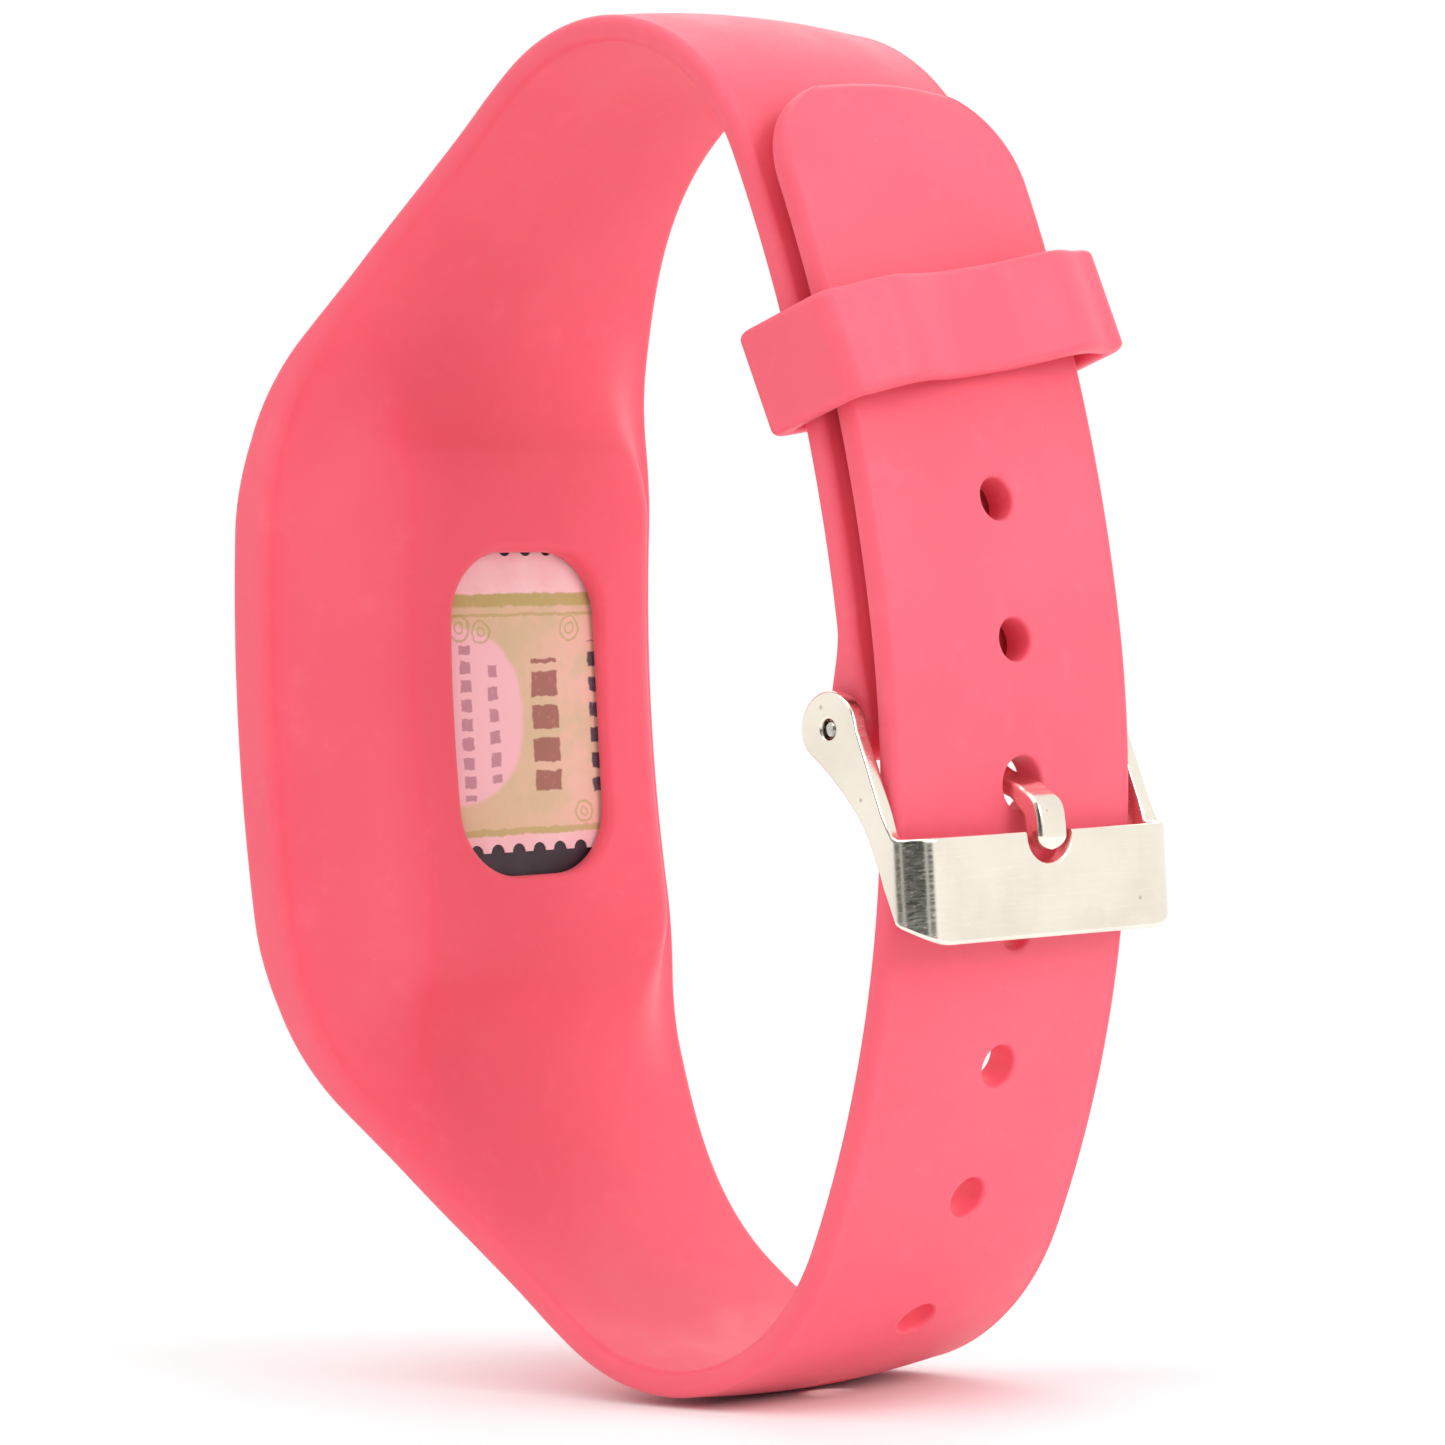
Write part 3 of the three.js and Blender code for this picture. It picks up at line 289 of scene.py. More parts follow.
# The tail is worked out with Z reversed: round the foot, along one belly arc, then over the strap.
OVERLAP_RADIUS = FRONT_RADIUS + STRAP_THICKNESS + STACK_GAP
lift_way = np.array([math.cos(TAIL_LIFT), -math.sin(TAIL_LIFT)])
lift_point = np.array([FRONT_X, -FRONT_Z]) + lift_way * OVERLAP_RADIUS
foot_arc = next_arc(shared_arcs[-1], FOOT_RADIUS, 0)
foot_to_lift = lift_point - foot_arc[:2]
belly_radius = (foot_to_lift @ foot_to_lift - FOOT_RADIUS**2) / (2 * (foot_to_lift @ lift_way - FOOT_RADIUS))
belly_x, belly_z = lift_point - lift_way * belly_radius
foot_to_belly = math.atan2(foot_arc[1] - belly_z, belly_x - foot_arc[0])
foot_arc = (*foot_arc[:4], foot_to_belly)
tail_end_heading = (
    math.pi + KEEPER_ANGLE + KEEPER_HEIGHT / 2 / OVERLAP_RADIUS + TAIL_BEYOND_KEEPER / OVERLAP_RADIUS
)
tail_arcs = [
    *shared_arcs,
    foot_arc,
    (belly_x, belly_z, belly_radius, foot_to_belly, math.pi + TAIL_LIFT),
    (FRONT_X, -FRONT_Z, OVERLAP_RADIUS, math.pi + TAIL_LIFT, tail_end_heading),
]
UPPER, UPPER_END = chain(upper_arcs)
TAIL, TAIL_END = chain(tail_arcs)


def along_chain(rows, run):
    """X, Z and heading at a distance: centre minus radius times (cosine, minus sine) of heading."""
    arc = rows[np.clip(np.searchsorted(rows[:, 5], run, side="right") - 1, 0, len(rows) - 1)]
    heading = arc[..., 3] + (run - arc[..., 5]) / arc[..., 2]
    return arc[..., 0] - arc[..., 2] * np.cos(heading), arc[..., 1] + arc[..., 2] * np.sin(heading), heading


def station(distance):
    """X, Z, and the outward direction's X and Z, on the wrist side of the strap. Distance is
    positive towards the buckle and negative down the tail."""
    distance = np.asarray(distance, float)
    up = distance >= 0
    upper = along_chain(UPPER, np.abs(distance))
    tail = along_chain(TAIL, np.abs(distance))
    x, z, heading = (np.where(up, a, b) for a, b in zip(upper, tail))
    flip = np.where(up, 1, -1)
    return x, flip * z, -np.cos(heading), flip * np.sin(heading)


def strap_point(distance, y, out):
    """A point of the strap from its place along the loop, across it, and outwards."""
    x, z, out_x, out_z = station(distance)
    return np.stack(np.broadcast_arrays(x + out_x * out, y, z + out_z * out), axis=-1)


# ---------------------------------------------------------------- silicone strap and sleeve

STRAP_WIDTH, STRAP_EDGE, STRAP_CROWN, STRAP_ROUND, TIP_CORNER = 18, 1.5, 0.5, 0.6, 5.5
SLEEVE_WIDTH, SLEEVE_EDGE, SLEEVE_CROWN = 30, 3.2, 0.9
SLEEVE_FLAT, SLEEVE_TAPER, EDGE_TAPER = 11, 27, 16
BACK_BULGE, BULGE_FLAT, BULGE_TAPER, BULGE_FLAT_SHARE = 5.9, 12, 14, 0.6
END_RADIUS, END_WIDTH, END_TAPER, BAR_OFFSET = 1.75, 17.2, 5, 0.2
STRAP_END = UPPER_END + END_RADIUS
TIP_ROUND = 0.6

bar_x, bar_z, bar_out_x, bar_out_z = (float(value) for value in station(UPPER_END))
BAR_X, BAR_Z = bar_x + bar_out_x * BAR_OFFSET, bar_z + bar_out_z * BAR_OFFSET


def band_section(distance):
    """Half width, side height, crown, wrist-side bulge and wrist-side offset at each distance. The
    sleeve tapers smoothly to the strap; the tail's tip has quarter-circle corners and a rounded
    edge; the strap's other end swells to a round boss about the spring bar."""
    run = np.abs(distance)
    sleeve = 1 - smooth_step((run - SLEEVE_FLAT) / SLEEVE_TAPER)
    edge_share = 1 - smooth_step((run - SLEEVE_FLAT) / EDGE_TAPER)
    half = (STRAP_WIDTH + (SLEEVE_WIDTH - STRAP_WIDTH) * sleeve) / 2
    edge = STRAP_EDGE + (SLEEVE_EDGE - STRAP_EDGE) * edge_share
    crown = STRAP_CROWN + (SLEEVE_CROWN - STRAP_CROWN) * sleeve
    bulge = BACK_BULGE * (1 - smooth_step((run - BULGE_FLAT) / BULGE_TAPER))
    inner = np.zeros_like(run)

    from_tip = np.where(distance < 0, np.maximum(TAIL_END - run, 0), TIP_CORNER)
    in_corner = TIP_CORNER - np.minimum(from_tip, TIP_CORNER)
    half = half + np.sqrt(TIP_CORNER**2 - in_corner**2) - TIP_CORNER
    in_round = TIP_ROUND - np.minimum(from_tip, TIP_ROUND)
    pinch = TIP_ROUND - np.sqrt(TIP_ROUND**2 - in_round**2)
    inner = inner + pinch
    edge = edge - pinch

    to_end = np.where(distance >= 0, STRAP_END - distance, 100.0)
    narrowed = 1 - smooth_step((to_end - END_RADIUS) / END_TAPER)
    half = half - narrowed * (STRAP_WIDTH - END_WIDTH) / 2
    boss = 1 - smooth_step((to_end - END_RADIUS * 1.2) / END_TAPER)
    inner = inner + boss * (BAR_OFFSET - END_RADIUS)
    edge = edge + boss * (BAR_OFFSET + END_RADIUS - crown - edge)
    in_end = END_RADIUS - np.clip(to_end, 0, END_RADIUS)
    round_half = np.sqrt(np.maximum(END_RADIUS**2 - in_end**2, 0))
    last = to_end < END_RADIUS
    inner = np.where(last, BAR_OFFSET - round_half, inner)
    crown = np.where(last, crown * round_half / END_RADIUS, crown)
    edge = np.where(last, BAR_OFFSET + round_half - crown, edge)
    return half, edge, crown, bulge, inner


def wrist_side(share, inner, bulge):
    """Offset of the wrist side: it bulges inwards under the core, flat in its middle."""
    return inner - bulge * smooth_step((1 - share) / (1 - BULGE_FLAT_SHARE))


def outer_side(share, edge, crown):
    """Offset of the outer side: the side's height plus a crown that falls off as share squared, less
    the 0.036 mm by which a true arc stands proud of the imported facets."""
    return edge - 0.036 + crown * (1 - share**2)


def band_rings(distance):
    """A ring of (across, outwards) round the strap at each distance: the wrist side, a rounded
    corner, the side, a rounded corner, the outer side, and the same again in mirror."""
    half, edge, crown, bulge, inner = (value[:, None] for value in band_section(distance))
    rounding = np.minimum(STRAP_ROUND, (edge - inner) * 0.42)
    flat = half - rounding
    share = np.linspace(-1, 1, 57)[None, :]
    wrist = (flat * share, wrist_side(np.abs(share), inner, bulge))
    outer = (-flat * share, outer_side(np.abs(share), edge, crown))
    turn = quarter(7)[None, 1:]
    low_corner = (flat + rounding * np.sin(turn), inner + rounding * (1 - np.cos(turn)))
    high_corner = (flat + rounding * np.cos(turn), edge - rounding * (1 - np.sin(turn)))
    side_share = np.linspace(0, 1, 6)[None, 1:]
    low, high = inner + rounding, edge - rounding
    side = (half + 0 * side_share, low + (high - low) * side_share)
    across = [wrist[0], low_corner[0], side[0], high_corner[0][:, :-1], outer[0]]
    outward = [wrist[1], low_corner[1], side[1], high_corner[1][:, :-1], outer[1]]
    across += [-high_corner[0][:, ::-1][:, 1:], -side[0][:, ::-1], -low_corner[0][:, ::-1][:, 1:]]
    outward += [high_corner[1][:, ::-1][:, 1:], side[1][:, ::-1], low_corner[1][:, ::-1][:, 1:]]
    y, out = np.concatenate(across, axis=1), np.concatenate(outward, axis=1)
    return strap_point(np.broadcast_to(distance[:, None], y.shape), y, out)


tip_steps = TAIL_END - np.concatenate([(1 - np.cos(quarter(9))) * 0.6, (1 - np.cos(quarter(22)))[4:] * TIP_CORNER + 0.45])
end_steps = STRAP_END - (1 - np.cos(quarter(12))) * END_RADIUS
tail_steps = np.linspace(TAIL_END - TIP_CORNER - 0.9, 0, 270)
upper_steps = np.linspace(0, STRAP_END - END_RADIUS - 0.2, 240)[1:]
steps = np.unique(np.concatenate([-tip_steps, -tail_steps, upper_steps, end_steps]).round(4))
steps = steps[np.concatenate([[True], np.diff(steps) > 0.004])]
band = tube("silicone_band", band_rings(np.clip(steps, -TAIL_END + 0.002, STRAP_END - 0.02)))

# ---- Pocket for the core, a rounded slab with sloping edges
CORE_HALF, CORE_CORNER, CORE_THICKNESS, CORE_SLOPE, POCKET_GAP = (12.2, 18), 5, 7.9, 2.8, 0.3
FRONT_SKIN, BACK_SKIN = 1.2, 0.9
CORE_BACK_HALF = (8.0, 15.4)
CORE_SIDE_LAND, CORE_END_LAND = 0.5, 0.3
FRONT_FACE_X = MODULE_X - SLEEVE_EDGE - SLEEVE_CROWN
CORE_FRONT_X = FRONT_FACE_X + FRONT_SKIN
CORE_BACK_X = CORE_FRONT_X + CORE_THICKNESS
CORE_ARC = MODULE_X + SLEEVE_RADIUS - CORE_FRONT_X


def core_front_at(along, grow=0.0):
    """X of the core's front, which follows the sleeve's arc, grown outwards by grow."""
    return CORE_FRONT_X + CORE_ARC - np.sqrt((CORE_ARC + grow) ** 2 - np.asarray(along, float) ** 2)


def pocket_rings():
    """Level rings of the pocket in X: the rounded plan clipped to the half width and half length
    that the sloping edges allow at that level."""
    grow, slope = POCKET_GAP, POCKET_GAP * 0.5
    front_half = CORE_HALF[1] - CORE_SLOPE + slope
    rim_x = float(core_front_at(front_half, grow))
    front_x, back_x = CORE_FRONT_X - grow, CORE_BACK_X + grow
    end_slope_x = rim_x + CORE_SLOPE + grow + CORE_END_LAND + slope
    side_front_x = front_x + CORE_SLOPE
    side_slope_x = side_front_x + grow + CORE_SIDE_LAND + slope
    arc_x = core_front_at(np.linspace(0.02, 1, 9) * front_half, grow)
    levels = np.unique(np.concatenate([arc_x, np.linspace(rim_x, back_x, 24), [end_slope_x, side_front_x, side_slope_x]]))
    half_y = np.interp(
        levels,
        [front_x, side_front_x, side_slope_x, back_x],
        [CORE_HALF[0] - CORE_SLOPE + slope, CORE_HALF[0] + grow, CORE_HALF[0] + grow, CORE_BACK_HALF[0] + slope],
    )
    half_z = np.interp(
        levels,
        [*arc_x, rim_x + CORE_SLOPE, end_slope_x, back_x],
        [*np.linspace(0.02, 1, 9) * front_half, CORE_HALF[1] + grow, CORE_HALF[1] + grow, CORE_BACK_HALF[1] + slope],
    )
    plan_y, plan_z = rounded_rectangle(CORE_HALF[0] + grow, CORE_HALF[1] + grow, CORE_CORNER + grow)
    y = np.clip(plan_y[None, :], -half_y[:, None], half_y[:, None])
    z = np.clip(plan_z[None, :], -half_z[:, None], half_z[:, None])
    return np.stack(np.broadcast_arrays(levels[:, None], y, z), axis=-1)


def sleeve_x(y, z, wrist=False):
    """X of the sleeve's outer face, or of its wrist side, above a place across and along it."""
    run = np.abs(SLEEVE_RADIUS * np.arcsin(np.clip(z / SLEEVE_RADIUS, -1, 1)))
    half, edge, crown, bulge, inner = band_section(run)
    share = np.abs(y) / (half - STRAP_ROUND)
    out = wrist_side(share, inner, bulge) if wrist else outer_side(share, edge, crown)
    return MODULE_X + SLEEVE_RADIUS - np.sqrt((SLEEVE_RADIUS + out) ** 2 - z**2)


def lipped_opening(half_y, half_z, corner, lip, clear_x, deep_x, wrist=False):
    """Rings of a cutter whose mouth flares in a quarter circle on to the sleeve's face, so that the
    opening it leaves has a soft lip. It runs from clear_x, off the face, to deep_x."""
    into = -1 if wrist else 1
    rings = []
    y, z = rounded_rectangle(half_y + lip + 0.05, half_z + lip + 0.05, corner + lip + 0.05, 14, 20)
    rings.append(np.stack([np.full_like(y, clear_x), y, z], axis=-1))
    for t in quarter(8):
        grow, drop = lip * (1 - math.sin(t)), lip * (1 - math.cos(t))
        y, z = rounded_rectangle(half_y + grow, half_z + grow, corner + grow, 14, 20)
        rings.append(np.stack([sleeve_x(y, z, wrist) + into * drop, y, z], axis=-1))
    y, z = rounded_rectangle(half_y, half_z, corner, 14, 20)
    rings.append(np.stack([np.full_like(y, deep_x), y, z], axis=-1))
    return np.stack(rings if not wrist else rings[::-1])


LENS_HALF, LENS_CORNER, LENS_GAP = (5.0, 13.6), 4.0, 0.3
WINDOW_HALF, WINDOW_CORNER = (5.6, 9.5), 3.9

cut(band, tube("pocket_cutter", pocket_rings()))
cut(band, tube("front_cutter", lipped_opening(LENS_HALF[0] + LENS_GAP, LENS_HALF[1] + LENS_GAP, LENS_CORNER + LENS_GAP, 0.35, FRONT_FACE_X - 1, -20.0)))
cut(band, tube("window_cutter", lipped_opening(*WINDOW_HALF, WINDOW_CORNER, 0.6, MODULE_X + BACK_BULGE + 2.5, -18.0, wrist=True)))

# ---- Buckle places
SHEET, EAR_RADIUS, FOLD_RADIUS = 0.9, 2.0, 2.2
FRAME_INNER = (STRAP_WIDTH + 0.6) / 2
FRAME_OUTER = FRAME_INNER + SHEET
BAR_DROP, BAR_HEIGHT, BAR_CORNER, NOTCH_RADIUS = 5.85, 5.6, 2.6, 1.7
BAR_TO_TAIL, TONGUE_DROP = 1.0, 3.35


def tail_x_at(height):
    """X of the tail's wrist side at a height near the buckle."""
    runs = np.linspace((TAIL[4, 5] + TAIL[5, 5]) / 2, TAIL_END, 4000)
    x, z, _, _ = station(-runs)
    return float(np.interp(height, z, x))


REACH = tail_x_at(BAR_Z - BAR_DROP) + STRAP_THICKNESS + BAR_TO_TAIL + SHEET - BAR_X
CROSSING_X = tail_x_at(BAR_Z - TONGUE_DROP) - BAR_X
TONGUE_TIP_X = REACH - 0.1
FINGER = [
    [1.3, -2.35],
    [CROSSING_X + 0.3, -TONGUE_DROP + 0.3],
    [CROSSING_X + STRAP_THICKNESS - 0.1, -TONGUE_DROP - 0.25],
    [TONGUE_TIP_X - 1, -BAR_DROP * 0.68],
    [TONGUE_TIP_X - 0.2, -BAR_DROP * 0.78],
    [TONGUE_TIP_X, -BAR_DROP * 0.93],
    [TONGUE_TIP_X, -BAR_DROP - NOTCH_RADIUS * 0.6],
]


def tongue_crossing():
    """How far down the tail the tongue's middle line passes through the tail's middle."""
    line = through([[0.4, -1.15], *FINGER], 200) + [BAR_X, BAR_Z]
    runs = np.arange(0, TAIL_END, 0.05)
    middle = strap_point(-runs, 0.0, STRAP_THICKNESS / 2)[:, ::2]
    gaps = np.linalg.norm(middle[:, None, :] - line[None], axis=-1).min(axis=1)
    return float(runs[np.argmin(gaps)])


# ---- Holes down the tail, the spring bar's bore and the tongue's slot
HOLE_PITCH, HOLE_RADIUS, TONGUE_HOLE_RADIUS, HOLE_LIP = 7.4, 1.15, 1.45, 0.3
CROSSING = tongue_crossing()


def hole_rings(order):
    """A cutter turned about the strap's outward line, flared to a soft lip on both faces."""
    radius = TONGUE_HOLE_RADIUS if order == 0 else HOLE_RADIUS
    x, z, out_x, out_z = (float(value) for value in station(-(CROSSING + order * HOLE_PITCH)))
    flare = np.stack([radius + HOLE_LIP * (1 - np.sin(quarter(7))), HOLE_LIP * (1 - np.cos(quarter(7)))], axis=-1)
    wide = radius + HOLE_LIP
    low, high = -0.02, STRAP_THICKNESS
    profile = [
        [wide + 0.05, low - 0.18],
        *[[r, low + rise] for r, rise in flare],
        *[[r, high - rise] for r, rise in flare[::-1]],
        [wide + 0.05, high + 0.5],
    ]
    return lathe(profile, 40, (x, 0, z), (out_x, 0, out_z), (0, 1, 0))


def bore_rings(radius, half_length, lip, sides=40):
    """A round bore along Y through the spring bar's axis, flared at the strap's sides."""
    flare = np.stack([radius + lip * (1 - np.sin(quarter(5))), half_length - lip * (1 - np.cos(quarter(5)))], axis=-1)
    near = [[r, -along] for r, along in flare]
    profile = [[radius + lip + 0.03, -half_length - 1], *near, *[[r, -along] for r, along in near[::-1]], [radius + lip + 0.03, half_length + 1]]
    return lathe(profile, sides, (BAR_X, 0, BAR_Z), (0, 1, 0), (1, 0, 0))


def slot_rings():
    """The tongue's slot: a rounded block through the strap end, open below."""
    low, high = BAR_Z - 4, BAR_Z + 3.2
    y, z = rounded_rectangle(1.25, (high - low) / 2, 0.9, 8, 8)
    levels = np.array([BAR_X - 4, BAR_X - 2, BAR_X, BAR_X + 2.05])
    return np.stack(np.broadcast_arrays(levels[:, None], y, z + (low + high) / 2), axis=-1)


cut(band, several("hole_cutter", [hole_rings(order) for order in range(-5, 3)]))
cut(band, tube("bore_cutter", bore_rings(1.0, END_WIDTH / 2, 0.25)))
cut(band, tube("slot_cutter", slot_rings()))
finish_piece(band, "band", "silicone_band", sharp=40)

def soft_section(half_a, half_b, rounding, corner_steps=5):
    """Rows of rounded rectangles, anticlockwise, from a half width and a half height for each row.
    A point is kept close to each corner's ends so that the flats shade as flats."""
    half_a, half_b = half_a[:, None, None], half_b[:, None, None]
    rounding = np.minimum(rounding, np.minimum(half_a, half_b) * 0.96)
    hold_a, hold_b = np.minimum(0.07, (half_a - rounding) * 0.5), np.minimum(0.07, (half_b - rounding) * 0.5)
    turn = np.arange(4)[:, None] * RIGHT_ANGLE + quarter(corner_steps)[None, :]
    sign_a, sign_b = np.array([1, -1, -1, 1])[:, None], np.array([1, 1, -1, -1])[:, None]
    core_a, core_b = sign_a * (half_a - rounding), sign_b * (half_b - rounding)
    arc_a, arc_b = core_a + rounding * np.cos(turn), core_b + rounding * np.sin(turn)
    along_b = np.array([True, False, True, False])[:, None]
    first_a = np.where(along_b, arc_a[..., :1], arc_a[..., :1] - sign_a * hold_a)
    first_b = np.where(along_b, arc_b[..., :1] - sign_b * hold_b, arc_b[..., :1])
    last_a = np.where(along_b, arc_a[..., -1:] - sign_a * hold_a, arc_a[..., -1:])
    last_b = np.where(along_b, arc_b[..., -1:], arc_b[..., -1:] - sign_b * hold_b)
    a = np.concatenate([first_a, arc_a, last_a], axis=2)
    b = np.concatenate([first_b, arc_b, last_b], axis=2)
    return a.reshape(len(a), -1), b.reshape(len(b), -1)


# ---------------------------------------------------------------- keeper loop

KEEPER_WALL, KEEPER_SKEW, KEEPER_BULGE = 1.2, math.radians(8), 0.9
KEEPER_INNER = (STRAP_WIDTH / math.cos(KEEPER_SKEW) + KEEPER_HEIGHT * math.tan(KEEPER_SKEW)) / 2 + 0.3
KEEPER_FLOOR, KEEPER_ROOF = -0.3, STRAP_THICKNESS * 2 + STACK_GAP + 0.3


def keeper_outline(grow, corner):
    """The loop's inner outline grown outwards. Its roof dips on to the tail in the middle and arches
    near each side, as the square of a sine of the share across raised to 1.6."""
    middle, half = (KEEPER_FLOOR + KEEPER_ROOF) / 2, (KEEPER_ROOF - KEEPER_FLOOR) / 2
    across, out = rounded_rectangle(KEEPER_INNER + grow, half + grow, corner, 9, 44)
    share = np.minimum(np.abs(across) / KEEPER_INNER, 1)
    arch = KEEPER_BULGE * np.sin(math.pi * share**1.6) ** 2
    return np.stack([across, middle + out + arch * smooth_step(out / half * 2)], axis=-1)


def keeper_rings():
    """A rounded rectangular section carried round the loop between its inner and outer outlines,
    then set askew and put on the strap."""
    inner, outer = keeper_outline(0, 0.5), keeper_outline(KEEPER_WALL, 1.2)
    count = len(inner)
    wall, along = soft_section(np.full(count, KEEPER_WALL / 2), np.full(count, KEEPER_HEIGHT / 2), 0.42, 6)
    share = (wall / KEEPER_WALL + 0.5)[..., None]
    place = inner[:, None, :] * (1 - share) + outer[:, None, :] * share
    y, out, z = place[..., 0], place[..., 1], along
    tilted_y = y * math.cos(KEEPER_SKEW) - z * math.sin(KEEPER_SKEW)
    tilted_z = y * math.sin(KEEPER_SKEW) + z * math.cos(KEEPER_SKEW)
    cosine, sine = math.cos(KEEPER_ANGLE), math.sin(KEEPER_ANGLE)
    x = FRONT_X + FRONT_RADIUS * cosine + out * cosine - tilted_z * sine
    z = FRONT_Z + FRONT_RADIUS * sine + out * sine + tilted_z * cosine
    return np.stack([x, tilted_y, z], axis=-1)


keeper = finish_piece(tube("keeper_loop", keeper_rings(), wrap=True), "keeper", "keeper_loop")

# ---------------------------------------------------------------- buckle frame

FRAME_MIDDLE = FRAME_INNER + SHEET / 2
FOLD_MIDDLE = FOLD_RADIUS - SHEET / 2
FOLD_X, FOLD_Y = REACH - FOLD_RADIUS, FRAME_OUTER - FOLD_RADIUS


def frame_path():
    """Middle of the bent strip seen from above, from the near ear round to the far one, with its
    direction: X from the spring bar, and Y."""
    ear = -EAR_RADIUS * np.cos(np.linspace(0.06, math.pi / 2, 18))
    arm = np.concatenate([ear, np.linspace(0, FOLD_X, 34)[1:-1]])
    fold = quarter(12)
    notch = NOTCH_RADIUS * np.sin(np.linspace(-math.pi / 2, math.pi / 2, 33))
    plain = np.linspace(-FOLD_Y, -NOTCH_RADIUS - 0.06, 26)[1:]
    bar = np.concatenate([plain, notch, -plain[::-1]])
    x = [arm, FOLD_X + FOLD_MIDDLE * np.sin(fold), np.full_like(bar, REACH - SHEET / 2)]
    x += [FOLD_X + FOLD_MIDDLE * np.cos(fold), arm[::-1]]
    y = [np.full_like(arm, -FRAME_MIDDLE), -FOLD_Y - FOLD_MIDDLE * np.cos(fold), bar]
    y += [FOLD_Y + FOLD_MIDDLE * np.sin(fold), np.full_like(arm, FRAME_MIDDLE)]
    way = [0 * arm, fold, 0 * bar + RIGHT_ANGLE, fold + RIGHT_ANGLE, 0 * arm + math.pi]
    return np.concatenate(x), np.concatenate(y), np.concatenate(way)


def frame_heights(x, y):
    """Lowest and highest Z from the spring bar at each place: a round ear, a straight upper edge and
    a curved lower edge down each arm, the bar's flat top with its notch, and rounded lower corners."""
    ear = np.sqrt(np.maximum(EAR_RADIUS**2 - x**2, 0))
    slope = -BAR_DROP * (x - EAR_RADIUS) / (FOLD_X + 0.5 - EAR_RADIUS)
    above = slope + BAR_DROP
    high = np.where(x < EAR_RADIUS, ear, -BAR_DROP + (above + np.sqrt(above**2 + 0.09)) / 2)
    edge = through(
        [
            [EAR_RADIUS * math.cos(math.pi * 1.18), EAR_RADIUS * math.sin(math.pi * 1.18)],
            [REACH * 0.02, -BAR_DROP * 0.45],
            [REACH * 0.33, -BAR_DROP * 0.8],
            [REACH * 0.5, -BAR_DROP * 1.12],
            [REACH * 0.66, -BAR_DROP * 1.6],
            [REACH * 0.75, -BAR_DROP - BAR_HEIGHT],
        ],
        200,
    )
    low = np.where(x < edge[0, 0], -ear, np.interp(x, edge[:, 0], edge[:, 1]))
    past = np.maximum(np.abs(y) - (FRAME_OUTER - BAR_CORNER), 0)
    corner = -BAR_DROP - BAR_HEIGHT + BAR_CORNER - np.sqrt(BAR_CORNER**2 - past**2)
    on_bar = x > FOLD_X
    notch = np.where(on_bar, np.sqrt(np.maximum(NOTCH_RADIUS**2 - y**2, 0)), 0)
    return np.maximum(low, corner), high - notch


def frame_rings():
    """The strip's rounded section at each station of its path, from the lower to the upper edge."""
    x, y, way = frame_path()
    low, high = frame_heights(x, y)
    thickness, height = soft_section(np.full(len(x), SHEET / 2), (high - low) / 2, 0.2, 5)
    inward_x, inward_y = -np.sin(way)[:, None], np.cos(way)[:, None]
    middle = ((low + high) / 2)[:, None]
    return np.stack(
        [
            BAR_X + x[:, None] + inward_x * thickness,
            y[:, None] + inward_y * thickness,
            BAR_Z + middle + height,
        ],
        axis=-1,
    )


buckle = tube("buckle_frame", frame_rings())
cut(buckle, tube("ear_cutter", bore_rings(0.55, FRAME_OUTER, 0.12)))
finish_piece(buckle, "buckle", "buckle_frame", sharp=42)

# ---------------------------------------------------------------- buckle tongue

TONGUE_WIDTH, TONGUE_THICKNESS, EYE_MIDDLE, EYE_WALL = 1.7, 0.9, 1.3, 0.6


def tongue_rings():
    """A flat strip rolled into an eye round the spring bar, whose middle line then runs through the
    tail's hole and hooks down into the notch. It grows from the eye's wall to its full thickness
    and widens past the eye, the hook is thicker towards the strap, and its free end is a half
    circle across."""
    roll = np.radians(np.linspace(-45, 235, 60))
    eye = EYE_MIDDLE * np.stack([np.cos(roll), np.sin(roll)], axis=-1)
    last = math.radians(250)
    lead = [[EYE_MIDDLE * math.cos(last), EYE_MIDDLE * math.sin(last)], [0.42, -1.5]]
    line, length = even_steps(np.vstack([eye, through([*lead, *FINGER], 160)]), 230)
    way = np.gradient(line, axis=0)
    way /= np.linalg.norm(way, axis=1, keepdims=True)
    left = length[-1] - length
    rolled = EYE_MIDDLE * (last + math.radians(45))
    thickness = EYE_WALL + (TONGUE_THICKNESS - EYE_WALL) * smooth_step((length - rolled) / 1.6)
    end = np.clip(1 - left / 0.75, 0, 0.995)
    hook = smooth_step((4.2 - left) / 1.6)[:, None]
    width = TONGUE_WIDTH + 0.4 * smooth_step((length - rolled) / 2)
    half_width = width / 2 * np.sqrt(1 - end**2)
    half_thick = (thickness / 2 + 0.14 * hook[:, 0]) * (1 - 0.35 * end**2)
    across, depth = soft_section(half_width, half_thick, 0.24, 5)
    depth = depth - 0.15 * hook
    normal_x, normal_z = -way[:, 1:2], way[:, :1]
    return np.stack(
        [
            BAR_X + line[:, :1] + normal_x * depth,
            across,
            BAR_Z + line[:, 1:] + normal_z * depth,
        ],
        axis=-1,
    )


tongue = finish_piece(tube("buckle_tongue", tongue_rings()), "tongue", "buckle_tongue", sharp=42)

# ---------------------------------------------------------------- spring bar

TUBE_HALF, TUBE_RADIUS, TUBE_BORE = END_WIDTH / 2 - 1.3, 0.85, 0.63


